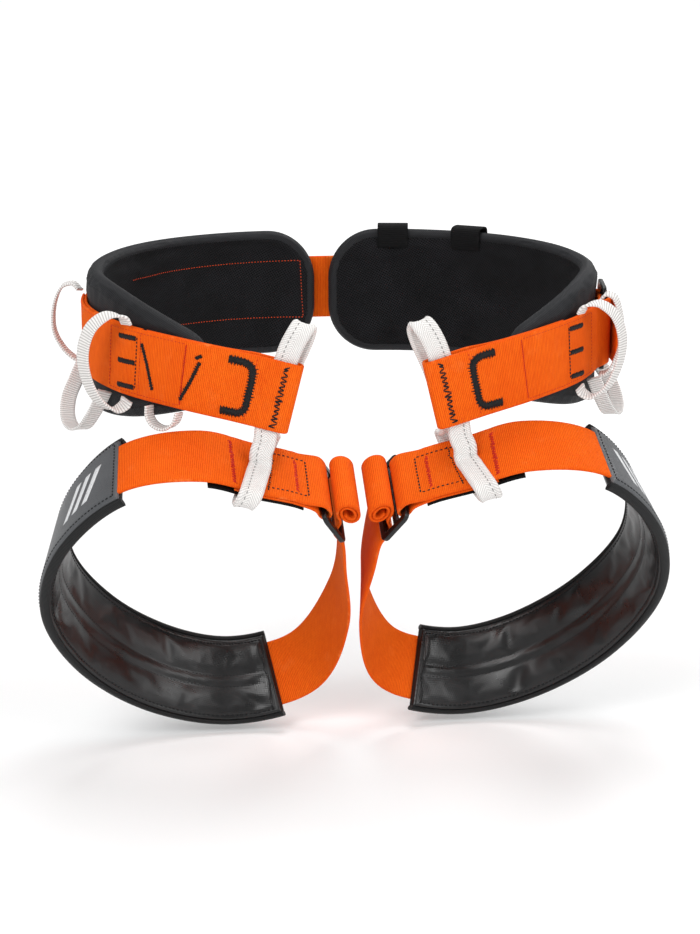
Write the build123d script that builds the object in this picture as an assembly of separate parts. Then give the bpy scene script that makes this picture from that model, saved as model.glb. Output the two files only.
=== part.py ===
"""A tree climbing saddle: a padded waist belt, with two leg loops hung from soft tie-in rings.

Millimetres, +Z up. The saddle hangs as if worn: its front faces -Y and the wearer's left is +X.
The origin is the centre of the waist, level with the middle of the belt at the back.
"""
from build123d import *
import os
from math import cos, pi, radians, sin
import numpy as np

# Webbing and tape
WEB_WIDTH = 45.0        # all the orange webbing
WEB_THICK = 2.0
LAYER_GAP = 0.2         # between two layers that are sewn together
SKIN_GAP = 0.5          # between webbing and the pad beside it
TAPE_WIDTH = 10.0       # white tape of the gear loops
TAPE_THICK = 1.6
RING_WIDTH = 15.0       # soft tubular webbing of the tie-in rings
RING_THICK = 3.4

# Waist belt: half of its centre line, from the front end to the back, as x, y, z and lean
BELT_HALF = [(43, -119, -26, 0), (75, -114, -18, 0), (112, -101, -11, 0), (148, -72, -6, 0),
             (168, -30, -2, 0), (162, 30, 0, 0), (128, 88, 0, 0), (70, 121, 0, 0)]
BELT_BACK = [(0, 127, 0, 0)]
FOLD_END = 0.0          # the front end of the belt, where the webbing folds back
TUNNEL_SEAM = 38.0      # bar tack that closes the tunnel for the ring
RETURN_END = 100.0      # end of the folded-back layer
REAR_START = 103.0      # front end of the webbing that goes round the back
FRONT_END = 200.0       # rear end of the right front webbing, which is sewn to the rear webbing
OUTER_LAYER = 3.2       # how far out the front webbing's middle lies
TUNNEL_LAYER = -4.2     # the same for the folded-back layer beside the ring

# Waist pads
PAD_FRONT = 58.0        # from the front end of the belt to the pad's tip
PAD_BACK_GAP = 6.0      # from the middle of the back to the pad's rear end
PAD_TOP, PAD_BOTTOM = 42.0, -46.0
PAD_TIP_SHARE = 0.46    # height of the front tip as a share of the pad's height
PAD_TAPER = 108.0       # length over which the front grows to full height
PAD_CORNER = 34.0
COVER_THICK, FOAM_THICK, LINER_THICK = 1.4, 8.0, 2.2
BINDING = 1.6

# Leg loops: the loop lies in a plane that leans forward at the top
LEG_TILT = radians(30)
LEG_ORIGIN = np.array([0.0, -120.0, -69.0])
LEG_UP = np.array([0.0, -sin(LEG_TILT), cos(LEG_TILT)])
LEG_AXIS = np.array([0.0, -cos(LEG_TILT), -sin(LEG_TILT)])
# x, height in the plane, distance out of the plane, lean
LEG_STATIONS = [(69, 0, 0, 0), (102, 12, 0, 0), (150, 4, 0, 5), (188, -42, 0, 10), (197, -98, 0, 15),
                (170, -155, 0, 25), (122, -195, 0, 34), (75, -207, 0, 35), (30, -190, 0, 27),
                (8, -130, 0, 10), (9, -78, 0, 0), (15, -40, 0, 0), (34, -14, 0, 0)]
LEG_PAD_START, LEG_PAD_END = 88.0, 405.0
LEG_PAD_WIDTH = 56.0
LEG_FOAM_THICK = 4.5
LEG_SKIN_THICK = 1.1
LEG_SPLICE = 250.0      # where the front webbing ends and the lower webbing starts, inside the pad
LEG_SEAM = 14.0         # end of the folded-back layer, just past the ring
TIE_IN_BACKING = (-34.0, 32.0)

# Buckles
FRAME_LENGTH, FRAME_WIDTH, FRAME_THICK = 28.0, 58.0, 3.2
FRAME_BAR = 5.0
SLIDER_LENGTH, SLIDER_THICK = 4.6, 2.4
SLIDER_AT = 1.6         # rest place of the sliding bar, towards the fixed end of the buckle
SLIDER_PLAY = 0.35
BAR_CLEAR = 0.9         # between the frame and the webbing that passes over or under it
ROLL_HALF = (9.2, 7.2)  # rolled-up tail of each leg strap, pressed flat: half its length and height
ROLL_PITCH = 2.35
ROLL_AT = (2.2, 12.6)   # the roll's middle, in the leg buckle's plane
LEG_BUCKLE = -60.0      # centre of the leg buckle along the loop, counted back from the ring
WAIST_BUCKLE = 172.0    # centre of the waist buckle, from the left front end of the belt
WAIST_BUCKLE_OUT = 4.3  # how far out of the belt it lies

# Tie-in rings: the upper part as distances along, across and out of the belt, the lower part as
# distances across and out of the leg webbing, then its two ends in space
RING_UPPER = [(13, -18, -0.5), (12.3, 0, -0.5), (11.6, 18, -0.5), (10.2, 32, -0.8), (7.5, 42, -2.0), (5.5, 46, -5.6),
              (4.4, 42.5, -9.6), (5, 34, -11.2), (7.8, 18, -11), (10, 0, -10.6), (11.6, -12, -10.2)]
RING_LOWER = [(-31, 1.5), (-29.5, -3.9), (-26, -7.8), (-18, -8.8), (0, -8.8), (18, -8.8), (26, -8.0),
              (30.4, -4.6), (31, 0.2), (28, 3.6), (20, 4.0), (8, 4.0), (0, 4.4)]
RING_AT, RING_SLANT = -2.6, 0.31
RING_LOWER_REAR = (58.5, -103.0, -51.5)
RING_LOWER_FRONT = [(64.6, -121.0, -59.5), (62.2, -118.4, -53.5)]

# Gear loops: along the belt, across it and out from it; the first and last points are sewn to the belt
UPRIGHT_FRONT = [(112, 24.2, 6), (113, 29, 9), (118, 30, 16), (123, 22, 24), (125, 6, 28), (123, -12, 26),
                 (118, -26, 20), (113, -31, 12), (110, -28, 7), (109, -24.4, 6)]
UPRIGHT_REAR = [(203, 24.2, 6), (205, 28, 11), (206, 26, 18), (207, 14, 24), (207, -4, 25), (206, -16, 19),
                (204, -22, 12), (203, -25, 6)]
UPRIGHT_REAR_LEFT = [(142, 24.2, 6), (143, 29, 10), (144, 27, 15), (144, 15, 19), (144, -2, 20), (143, -16, 16),
                     (142, -24, 11), (141, -25.6, 6)]
HANGING_SIDE = [(196, -25, 5.2), (190, -33, 9), (180, -43, 14), (168, -52, 16), (156, -56, 15), (146, -53, 12),
                (139, -43, 9), (134, -33, 7), (131, -25, 5.2)]
HANGING_SMALL = [(92, -24.5, 5.2), (91, -30.5, 5.8), (87, -35, 6.2), (81, -36.6, 6.4), (75, -35, 6.2),
                 (71, -30.5, 5.8), (70, -24.5, 5.2)]

# Keepers: tape over the left pad's top edge, holding the webbing that slides; places are from the
# middle of the back
KEEPERS = (53.0, 112.0)
KEEPER_WIDTH, KEEPER_THICK = 22.0, 1.2
KEEPER_INSIDE_END, KEEPER_OUTSIDE_END = 26.0, -27.0

STATION_STEP = 14.0     # spacing of the cross-sections along a strap


def unit(v):
    return v / np.linalg.norm(v)


def smooth(points, closed, per_span=16):
    """Points along the centripetal Catmull-Rom curve through the given stations."""
    if closed:
        around = np.vstack([points[-1:], points, points[:2]])
    else:
        around = np.vstack([2 * points[0] - points[1], points, 2 * points[-1] - points[-2]])
    knots = np.concatenate([[0.0], np.cumsum(np.linalg.norm(np.diff(around[:, :3], axis=0), axis=1) ** 0.5)])
    curve = []
    for i in range(1, len(around) - 2):
        t0, t1, t2, t3 = knots[i - 1:i + 3]
        p0, p1, p2, p3 = around[i - 1:i + 3]
        for t in np.linspace(t1, t2, per_span, endpoint=False):
            a1 = ((t1 - t) * p0 + (t - t0) * p1) / (t1 - t0)
            a2 = ((t2 - t) * p1 + (t - t1) * p2) / (t2 - t1)
            a3 = ((t3 - t) * p2 + (t - t2) * p3) / (t3 - t2)
            b1 = ((t2 - t) * a1 + (t - t0) * a2) / (t2 - t0)
            b2 = ((t3 - t) * a2 + (t - t1) * a3) / (t3 - t1)
            curve.append(((t2 - t) * b1 + (t - t1) * b2) / (t2 - t1))
    curve.append(around[-2])
    return np.array(curve)


class Band:
    """The path of a flat strap: s runs along it, w across its width and n out of its outer face."""

    def __init__(self, places, axis, centre, closed=False):
        self.track = smooth(np.array(places, float), closed)
        self.axis = np.array(axis, float)
        self.centre = np.array(centre, float)
        self.closed = closed
        steps = np.linalg.norm(np.diff(self.track[:, :3], axis=0), axis=1)
        self.s = np.concatenate([[0.0], np.cumsum(steps)])
        self.length = self.s[-1]

    def sample(self, s):
        s = s % self.length if self.closed else min(max(s, 0.0), self.length)
        return np.array([np.interp(s, self.s, self.track[:, k]) for k in range(4)])

    def frame(self, s):
        """The point on the centre line, and the directions along, across and outward."""
        x, y, z, lean = self.sample(s)
        point = np.array([x, y, z])
        along = unit((self.sample(s + 2.0) - self.sample(s - 2.0))[:3])
        across = unit(self.axis - along * (along @ self.axis))
        outward = np.cross(along, across)
        if outward @ (point - self.centre) < 0:
            outward = -outward
        c, k = cos(radians(lean)), sin(radians(lean))
        return point, along, c * across + k * outward, c * outward - k * across

    def place(self, s, w=0.0, n=0.0):
        """A point in space; past either end of an open band it goes straight on."""
        point, along, across, outward = self.frame(s)
        beyond = 0.0 if self.closed else s - min(max(s, 0.0), self.length)
        return point + beyond * along + w * across + n * outward


BELT = Band(BELT_HALF + BELT_BACK + [(-x, y, z, lean) for x, y, z, lean in reversed(BELT_HALF)],
            (0, 0, 1), (0, 0, 0))
LEG = Band([tuple(LEG_ORIGIN + (x, 0, 0) + up * LEG_UP + out * LEG_AXIS) + (lean,)
            for x, up, out, lean in LEG_STATIONS], LEG_AXIS, LEG_ORIGIN + (100, 0, 0) - 100 * LEG_UP, closed=True)
HALF_BELT = BELT.length / 2
PAD_IN = -SKIN_GAP - COVER_THICK - FOAM_THICK - LINER_THICK - 2 * LAYER_GAP   # the pad's inner face


def stations(start, end, step=STATION_STEP):
    return np.linspace(start, end, max(2, int(abs(end - start) / step) + 1))


def skin(sections):
    """A solid whose flat cross-sections are joined by straight ruling."""
    return Solid.make_loft([Wire.make_polygon([Vector(*p) for p in s], close=True) for s in sections], True)


def slab(band, run, low, high, inner, outer):
    """A layer of a strap or pad: low and high give its edges as functions of s."""
    return skin([[band.place(s, low(s), inner), band.place(s, high(s), inner),
                  band.place(s, high(s), outer), band.place(s, low(s), outer)] for s in run])


def ribbon(points, across, width, thick):
    """A strap along any line of points, with its width direction given at each point."""
    points = [np.array(p, float) for p in points]
    sections = []
    for i, p in enumerate(points):
        along = unit(points[min(i + 1, len(points) - 1)] - points[max(i - 1, 0)])
        side = unit(across[i] - along * (along @ across[i])) * width / 2
        out = np.cross(along, unit(side)) * thick / 2
        sections.append([p - side - out, p + side - out, p + side + out, p - side + out])
    return skin(sections)


def strip(band, route, width=WEB_WIDTH, thick=WEB_THICK):
    """Webbing that follows a band while its distance out of the band changes, as where it folds."""
    return ribbon([band.place(s, 0, n) for s, n in route], [band.frame(s)[2] for s, n in route], width, thick)


def half_turn(s, n_from, n_to, steps=6):
    """Where webbing turns back on itself at the front of a band."""
    middle, radius = (n_from + n_to) / 2, (n_from - n_to) / 2
    return [(s - radius * sin(pi * k / steps), middle + radius * cos(pi * k / steps)) for k in range(steps + 1)]


def level(start, end, n):
    return [(s, n) for s in stations(start, end)]


def belt_edge(sign):
    """The pad's upper (+1) or lower (-1) edge, as a function of the distance from the belt's front end."""
    middle, half = (PAD_TOP + PAD_BOTTOM) / 2, (PAD_TOP - PAD_BOTTOM) / 2

    def edge(s):
        grown = min(max((s - PAD_FRONT) / PAD_TAPER, 0.0), 1.0)
        height = half * (PAD_TIP_SHARE + (1 - PAD_TIP_SHARE) * sin(grown * pi / 2))
        left = HALF_BELT - PAD_BACK_GAP - s
        if left < PAD_CORNER:
            height = half - PAD_CORNER + (PAD_CORNER ** 2 - (PAD_CORNER - max(left, 0.0)) ** 2) ** 0.5
        return sign * height + middle * grown

    return edge


def pad_run():
    """Stations along a waist pad, closer together where its rear corners are round."""
    rear = HALF_BELT - PAD_BACK_GAP
    corner = [rear - PAD_CORNER * (1 - sin(radians(a))) for a in (0, 25, 45, 62, 76, 86)]
    return list(stations(PAD_FRONT, rear - PAD_CORNER)) + corner[1:]


def waist_pad():
    """One waist pad: outer cover, foam and mesh liner, and the binding that closes their edge."""
    run, low, high = pad_run(), belt_edge(-1), belt_edge(1)
    cover_in = -SKIN_GAP - COVER_THICK
    foam_in = cover_in - LAYER_GAP - FOAM_THICK
    pieces = {"waist_pad_cover": slab(BELT, run, low, high, cover_in, -SKIN_GAP),
              "waist_pad_foam": slab(BELT, run, low, high, foam_in, cover_in - LAYER_GAP),
              "waist_pad_liner": slab(BELT, run, low, high, PAD_IN, foam_in - LAYER_GAP)}
    edge = LAYER_GAP + BINDING
    upper = slab(BELT, run, lambda s: high(s) + LAYER_GAP, lambda s: high(s) + edge, PAD_IN, -SKIN_GAP)
    lower = slab(BELT, run, lambda s: low(s) - edge, lambda s: low(s) - LAYER_GAP, PAD_IN, -SKIN_GAP)
    pieces["waist_pad_binding"] = Compound([upper, lower])
    return pieces


def keepers():
    """Tapes hooked over the left pad's top edge, from its inner face to outside the webbing."""
    top = PAD_TOP + LAYER_GAP + BINDING + 1.4
    outside, inside = WEB_THICK + 1.4, PAD_IN - 1.7
    route = [(KEEPER_OUTSIDE_END, outside), (0, outside), (24, outside), (34, outside - 1.4), (top - 1.6, 1.6),
             (top + 0.3, -0.4), (top + 0.3, PAD_IN + 0.4), (top - 1.6, inside), (KEEPER_INSIDE_END, inside)]
    tapes = []
    for place in KEEPERS:
        s = HALF_BELT - place
        points = [BELT.place(s, w, n) for w, n in route]
        tapes.append(ribbon(points, [BELT.frame(s)[1]] * len(points), KEEPER_WIDTH, KEEPER_THICK))
    return Compound(tapes)


def tunnel_and_return():
    """The fold at the belt's front end, and the layer that runs back inside from it."""
    fold = half_turn(FOLD_END + 4.0, OUTER_LAYER, TUNNEL_LAYER)
    back = [(s, TUNNEL_LAYER) for s in (12, 22, 30)] + [(TUNNEL_SEAM, -1.5), (TUNNEL_SEAM + 8, 0.4)]
    return fold + back + level(TUNNEL_SEAM + 16, RETURN_END, 1.0)


def right_front_webbing():
    """Doubled webbing of the belt's right front: outer layer, fold round the ring, and the layer back."""
    route = level(FRONT_END, 18, OUTER_LAYER) + tunnel_and_return()
    return mirror(strip(BELT, route), about=Plane.YZ)


class Buckle:
    """A flat adjuster in a plane of its own: d runs towards its fixed bar and h out of its face."""

    def __init__(self, band, s, n, heading):
        point, along, across, outward = band.frame(s)
        self.origin = point + n * outward
        self.along, self.across, self.outward = heading * along, across, outward
        self.fixed_bar = FRAME_LENGTH / 2 - FRAME_BAR / 2

    def at(self, d, h):
        return self.origin + d * self.along + h * self.outward

    def solids(self):
        """The frame, and the bar that slides in it and nips the webbing."""
        length, width = FRAME_LENGTH - 2 * FRAME_BAR, FRAME_WIDTH - 2 * FRAME_BAR
        outline = RectangleRounded(FRAME_LENGTH, FRAME_WIDTH, 5) - RectangleRounded(length, width, 1.5)
        frame = extrude(outline, FRAME_THICK / 2, both=True)
        faces = frame.edges().group_by(Axis.Z)
        frame = fillet(faces[-1] + faces[0], 0.9)
        bar = Box(SLIDER_LENGTH, width - 2 * SLIDER_PLAY, SLIDER_THICK)
        bar = fillet(bar.edges().filter_by(Axis.Y), 0.8)
        plane = Plane(origin=Vector(*self.origin), x_dir=Vector(*self.along), z_dir=Vector(*self.outward))
        return plane.location * frame, plane.location * (Pos(SLIDER_AT, 0, 0) * bar)

    def fixed_fold(self):
        """Webbing round the fixed bar, from its outer side to its inner side."""
        over = FRAME_THICK / 2 + BAR_CLEAR + WEB_THICK / 2
        middle = self.fixed_bar - 0.9
        turn = [(middle - over * sin(pi * k / 6), over * cos(pi * k / 6)) for k in range(7)]
        route = [(self.fixed_bar + 6, over - 0.9), (self.fixed_bar + 3, over)] + turn + [(self.fixed_bar + 5, -over)]
        return [self.at(d, h) for d, h in route]

    def threaded(self):
        """Webbing under the free bar, up through the frame and over the sliding bar."""
        under = FRAME_THICK / 2 + BAR_CLEAR + WEB_THICK / 2
        route = [(-20, -under), (-9, -under), (-7.4, -2.6), (-5, 0.0), (-1.6, 4.1), (1.0, 5.2)]
        return [self.at(d, h) for d, h in route]


WAIST_ADJUSTER = Buckle(BELT, WAIST_BUCKLE, WAIST_BUCKLE_OUT, -1)
LEG_ADJUSTER = Buckle(LEG, LEG_BUCKLE, 0.0, 1)


def path(band, route):
    """Points of a route along a band, and the band's width direction at each."""
    return [band.place(s, 0, n) for s, n in route], [band.frame(s)[2] for s, n in route]


def join(*runs):
    points, across = [], []
    for run_points, run_across in runs:
        points += run_points
        across += run_across
    return ribbon(points, across, WEB_WIDTH, WEB_THICK)


def flat_run(points, buckle):
    return points, [buckle.across] * len(points)


def left_front_webbing():
    """As on the right, but its rear end is folded round the waist buckle's fixed bar."""
    front = path(BELT, level(WAIST_BUCKLE - 30, 18, OUTER_LAYER) + tunnel_and_return())
    inner = path(BELT, [(RETURN_END + 28, 1.0), (RETURN_END + 40, 1.0)])
    fold = WAIST_ADJUSTER.fixed_fold()[::-1]
    return join(inner, flat_run(fold, WAIST_ADJUSTER), front)


def rear_webbing():
    """Webbing round the back: sewn under the right front webbing, and through the buckle on the left."""
    buckle = WAIST_ADJUSTER
    tail = [buckle.at(d, h) for d, h in ((26, 8.2), (14, 7.4), (6, 6.6))]
    back = path(BELT, level(WAIST_BUCKLE + 28, BELT.length - REAR_START, 1.0))
    return join(flat_run(tail + buckle.threaded()[::-1], buckle), back)


def leg_front_webbing():
    """Outer layer from inside the pad, past the ring and round the buckle's bar, and the layer back."""
    outer = path(LEG, level(LEG_SPLICE, LEG_BUCKLE + 28, 0.0))
    inner = path(LEG, level(LEG_BUCKLE + 28, LEG_SEAM, -WEB_THICK - LAYER_GAP))
    return join(outer, flat_run(LEG_ADJUSTER.fixed_fold(), LEG_ADJUSTER), inner)


def leg_lower_webbing():
    """From inside the pad up to the buckle, through it and into the rolled tail."""
    start = LEG.length + LEG_BUCKLE
    plain = path(LEG, level(LEG_SPLICE + 4, LEG_PAD_END - 4, 0.0) + level(LEG_PAD_END + 8, start - 30, 0.0))
    roll, angle, shrunk = [], radians(-80), 0.0
    while ROLL_HALF[1] - shrunk > 2.5:
        roll.append(LEG_ADJUSTER.at(ROLL_AT[0] + (ROLL_HALF[0] - shrunk) * cos(angle),
                                    ROLL_AT[1] + (ROLL_HALF[1] - shrunk) * sin(angle)))
        angle += radians(24)
        shrunk += ROLL_PITCH * 24 / 360
    return join(plain, flat_run(LEG_ADJUSTER.threaded() + roll, LEG_ADJUSTER))


def leg_pad():
    """Leg pad: smooth outer skin, foam, slick inner skin, and piping along both edges."""
    run = list(stations(LEG_PAD_START, LEG_PAD_END, 12))
    half = LEG_PAD_WIDTH / 2
    web = WEB_THICK / 2 + SKIN_GAP
    foam_in = -web - LEG_FOAM_THICK
    inner_in = foam_in - LAYER_GAP - LEG_SKIN_THICK
    outer_out = web + LEG_SKIN_THICK

    def layer(inner, outer, low=-half, high=half):
        return slab(LEG, run, lambda s: low, lambda s: high, inner, outer)

    piping = Compound([layer(inner_in, outer_out, -half - 2.6, -half - LAYER_GAP),
                       layer(inner_in, outer_out, half + LAYER_GAP, half + 2.6)])
    return {"leg_pad_outer_skin": layer(web, outer_out), "leg_pad_foam": layer(foam_in, -web),
            "leg_pad_inner_skin": layer(inner_in, foam_in - LAYER_GAP), "leg_pad_piping": piping}


def tie_in_backing():
    """Black tape sewn under the leg webbing where the ring wears on it."""
    inner = -1.5 * WEB_THICK - LAYER_GAP - SKIN_GAP
    return slab(LEG, stations(*TIE_IN_BACKING), lambda s: -6.0, lambda s: 25.0, inner - 1.4, inner)


def ring_upper():
    """The ring's part above the swing axis: through the belt's tunnel and round over the top."""
    width = BELT.frame(12)[1]
    return ribbon([BELT.place(*p) for p in RING_UPPER], [width] * len(RING_UPPER), RING_WIDTH, RING_THICK)


def ring_lower():
    """The ring's part that wraps round the leg webbing."""
    points = [np.array(RING_LOWER_REAR)] + [LEG.place(RING_AT + RING_SLANT * w, w, n) for w, n in RING_LOWER]
    points += [np.array(p) for p in RING_LOWER_FRONT]
    width = LEG.frame(RING_AT)[1]
    return ribbon(points, [width] * len(points), RING_WIDTH, RING_THICK)


def gear_loop(route):
    """A loop of stiff tape, its width along the belt where it stands up and along itself where it hangs."""
    line = smooth(np.array([tuple(BELT.place(*p)) + (0,) for p in route]), False, 3)[:, :3]
    hanging = abs(route[0][0] - route[-1][0]) > 20
    s = (route[0][0] + route[-1][0]) / 2
    width = BELT.frame(s)[3] if hanging else BELT.frame(s)[1]
    return ribbon(line, [width] * len(line), TAPE_WIDTH, TAPE_THICK)


def tack(route, width, band=BELT, face=OUTER_LAYER + WEB_THICK / 2):
    """A dense bar of thread on a strap's outer face, along points given as s and w."""
    line = [band.place(s, w, face + 0.7) for s, w in route]
    sections = []
    for i, p in enumerate(line):
        along = unit(line[min(i + 1, len(line) - 1)] - line[max(i - 1, 0)])
        out = band.frame(route[i][0])[3]
        side = unit(np.cross(out, along)) * width / 2
        sections.append([p - side - 0.35 * out, p + side - 0.35 * out, p + side + 0.35 * out, p - side + 0.35 * out])
    return skin(sections)


def black_tacks():
    """Bar tacks of the belt's front: three bars at the side, and the hooked tack that closes the tunnel."""
    bars = [tack([(110, w), (125, w)], 2.6) for w in (16, 0, -16)]
    arc = [(TUNNEL_SEAM + 2 + 6 * cos(a), 11 + 6 * sin(a)) for a in np.linspace(0.5 * pi, pi, 5)]
    hook = [(48, 17)] + arc + [(32, y) for y in (4, -4)]
    hook += [(TUNNEL_SEAM + 2 + 6 * cos(a), -11 + 6 * sin(a)) for a in np.linspace(pi, 1.5 * pi, 5)] + [(48, -17)]
    return Compound(bars + [tack(hook, 4.0)])


def red_seams(places):
    """Lines of red thread across the belt's front webbing."""
    return Compound([tack([(s, -20), (s, 20)], 0.8) for s in places])


def both_sides(name, solid, nodes):
    nodes["left_" + name] = solid
    nodes["right_" + name] = mirror(solid, about=Plane.YZ)


def build():
    nodes = {"waist_rear_webbing": rear_webbing(), "left_front_webbing": left_front_webbing(),
             "right_front_webbing": right_front_webbing(), "left_pad_keepers": keepers()}
    for name, solid in waist_pad().items():
        both_sides(name, solid, nodes)
    both_sides("bar_tacks", black_tacks(), nodes)
    nodes["left_red_seams"] = red_seams((72, 102))
    nodes["right_red_seams"] = mirror(red_seams((72, 102, FRONT_END - 5)), about=Plane.YZ)
    nodes["waist_buckle_frame"], nodes["waist_buckle_bar"] = WAIST_ADJUSTER.solids()
    both_sides("ring_upper", ring_upper(), nodes)
    both_sides("ring_lower", ring_lower(), nodes)
    both_sides("leg_front_webbing", leg_front_webbing(), nodes)
    both_sides("leg_lower_webbing", leg_lower_webbing(), nodes)
    both_sides("leg_ring_backing", tie_in_backing(), nodes)
    for name, solid in leg_pad().items():
        both_sides(name, solid, nodes)
    frame, bar = LEG_ADJUSTER.solids()
    both_sides("leg_buckle_frame", frame, nodes)
    both_sides("leg_buckle_bar", bar, nodes)
    both_sides("upright_gear_loop_front", gear_loop(UPRIGHT_FRONT), nodes)
    nodes["left_upright_gear_loop_rear"] = gear_loop(UPRIGHT_REAR_LEFT)
    nodes["right_upright_gear_loop_rear"] = mirror(gear_loop(UPRIGHT_REAR), about=Plane.YZ)
    both_sides("hanging_gear_loop", gear_loop(HANGING_SIDE), nodes)
    nodes["right_small_gear_loop"] = mirror(gear_loop(HANGING_SMALL), about=Plane.YZ)
    return nodes


os.makedirs("parts", exist_ok=True)
for node, shape in build().items():
    export_step(shape, f"parts/{node}.step")
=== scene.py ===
"""Looks of the tree climbing saddle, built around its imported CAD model.

Every shape is worked out in millimetres for the wearer's left side (+X) and mirrored for the right.
Straps follow two bands, as in the CAD: s runs along a band, w across it and n out of it.
"""

from math import cos, pi, radians, sin

import bpy
import numpy as np
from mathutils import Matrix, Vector
from mathutils.bvhtree import BVHTree


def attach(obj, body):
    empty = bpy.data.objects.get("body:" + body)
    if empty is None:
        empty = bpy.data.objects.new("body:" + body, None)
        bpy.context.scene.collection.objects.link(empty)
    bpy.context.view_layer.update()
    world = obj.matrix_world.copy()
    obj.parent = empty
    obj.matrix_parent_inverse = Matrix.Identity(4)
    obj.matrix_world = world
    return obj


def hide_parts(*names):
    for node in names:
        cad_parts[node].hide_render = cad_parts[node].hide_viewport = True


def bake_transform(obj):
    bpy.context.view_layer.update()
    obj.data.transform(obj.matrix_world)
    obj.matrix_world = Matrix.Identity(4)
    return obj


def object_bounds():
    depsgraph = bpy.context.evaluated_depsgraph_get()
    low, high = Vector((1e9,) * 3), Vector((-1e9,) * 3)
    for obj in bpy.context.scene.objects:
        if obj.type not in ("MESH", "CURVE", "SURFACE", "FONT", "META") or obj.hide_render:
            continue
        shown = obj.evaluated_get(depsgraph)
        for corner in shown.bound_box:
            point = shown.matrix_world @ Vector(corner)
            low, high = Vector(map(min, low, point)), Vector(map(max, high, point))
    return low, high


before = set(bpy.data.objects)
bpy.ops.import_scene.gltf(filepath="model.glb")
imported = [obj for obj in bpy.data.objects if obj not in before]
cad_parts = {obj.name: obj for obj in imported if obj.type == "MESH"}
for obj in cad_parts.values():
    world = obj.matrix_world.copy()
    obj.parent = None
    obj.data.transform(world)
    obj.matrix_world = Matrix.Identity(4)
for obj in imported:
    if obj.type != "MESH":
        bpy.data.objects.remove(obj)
cad_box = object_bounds()
MM = 0.001
LEFT, RIGHT = 1, -1
SIDE_NAMES = {LEFT: "left", RIGHT: "right"}

# ---------------------------------------------------------------- sizes shared with the CAD, in mm
WEB_WIDTH, WEB_THICK = 45.0, 2.0
BELT_HALF = [(43, -119, -26, 0), (75, -114, -18, 0), (112, -101, -11, 0), (148, -72, -6, 0),
             (168, -30, -2, 0), (162, 30, 0, 0), (128, 88, 0, 0), (70, 121, 0, 0)]
OUTER_LAYER, TUNNEL_LAYER, REAR_LAYER = 3.2, -4.2, 1.0
FRONT_END, REAR_START, RETURN_END, TUNNEL_SEAM = 200.0, 103.0, 100.0, 38.0
PAD_FRONT, PAD_BACK_GAP, PAD_TOP, PAD_BOTTOM = 58.0, 6.0, 42.0, -46.0
PAD_TIP_SHARE, PAD_TAPER, PAD_CORNER = 0.46, 108.0, 34.0
PAD_INNER, PAD_OUTER = -12.5, -0.5
LEG_TILT = radians(30)
LEG_ORIGIN = np.array([0.0, -120.0, -69.0])
LEG_UP = np.array([0.0, -sin(LEG_TILT), cos(LEG_TILT)])
LEG_AXIS = np.array([0.0, -cos(LEG_TILT), -sin(LEG_TILT)])
LEG_STATIONS = [(69, 0, 0, 0), (102, 12, 0, 0), (150, 4, 0, 5), (188, -42, 0, 10), (197, -98, 0, 15),
                (170, -155, 0, 25), (122, -195, 0, 34), (75, -207, 0, 35), (30, -190, 0, 27),
                (8, -130, 0, 10), (9, -78, 0, 0), (15, -40, 0, 0), (34, -14, 0, 0)]
LEG_PAD_START, LEG_PAD_END, LEG_PAD_HALF = 88.0, 405.0, 28.0
LEG_PAD_INNER, LEG_PAD_OUTER = -7.3, 2.6
LEG_SPLICE, LEG_BUCKLE, LEG_SEAM = 250.0, -60.0, 14.0
FRAME_LENGTH, FRAME_THICK, FRAME_BAR, BAR_CLEAR = 28.0, 3.2, 5.0, 0.9
ROLL_HALF, ROLL_PITCH, ROLL_AT = (9.2, 7.2), 2.35, (2.2, 12.6)
RING_UPPER = [(13, -18, -0.5), (12.3, 0, -0.5), (11.6, 18, -0.5), (10.2, 32, -0.8), (7.5, 42, -2.0),
              (5.5, 46, -5.6), (4.4, 42.5, -9.6), (5, 34, -11.2), (7.8, 18, -11), (10, 0, -10.6),
              (11.6, -12, -10.2)]
RING_LOWER = [(-31, 1.5), (-29.5, -3.9), (-26, -7.8), (-18, -8.8), (0, -8.8), (18, -8.8), (26, -8.0),
              (30.4, -4.6), (31, 0.2), (28, 3.6), (20, 4.0), (8, 4.0), (0, 4.4)]
RING_AT, RING_SLANT = -2.6, 0.31
RING_LOWER_REAR = (58.5, -103.0, -51.5)
RING_LOWER_FRONT = [(64.6, -121.0, -59.5), (62.2, -118.4, -53.5)]
UPRIGHT_FRONT = [(112, 24.2, 6), (113, 29, 9), (118, 30, 16), (123, 22, 24), (125, 6, 28), (123, -12, 26),
                 (118, -26, 20), (113, -31, 12), (110, -28, 7), (109, -24.4, 6)]
UPRIGHT_REAR = [(203, 24.2, 6), (205, 28, 11), (206, 26, 18), (207, 14, 24), (207, -4, 25), (206, -16, 19),
                (204, -22, 12), (203, -25, 6)]
UPRIGHT_REAR_LEFT = [(142, 24.2, 6), (143, 29, 10), (144, 27, 15), (144, 15, 19), (144, -2, 20),
                     (143, -16, 16), (142, -24, 11), (141, -25.6, 6)]
HANGING_SIDE = [(196, -25, 5.2), (190, -33, 9), (180, -43, 14), (168, -52, 16), (156, -56, 15),
                (146, -53, 12), (139, -43, 9), (134, -33, 7), (131, -25, 5.2)]
HANGING_SMALL = [(92, -24.5, 5.2), (91, -30.5, 5.8), (87, -35, 6.2), (81, -36.6, 6.4), (75, -35, 6.2),
                 (71, -30.5, 5.8), (70, -24.5, 5.2)]
KEEPERS = (53.0, 112.0)


# ---------------------------------------------------------------- paths
def unit(v):
    return v / np.linalg.norm(v, axis=-1, keepdims=True)


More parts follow.
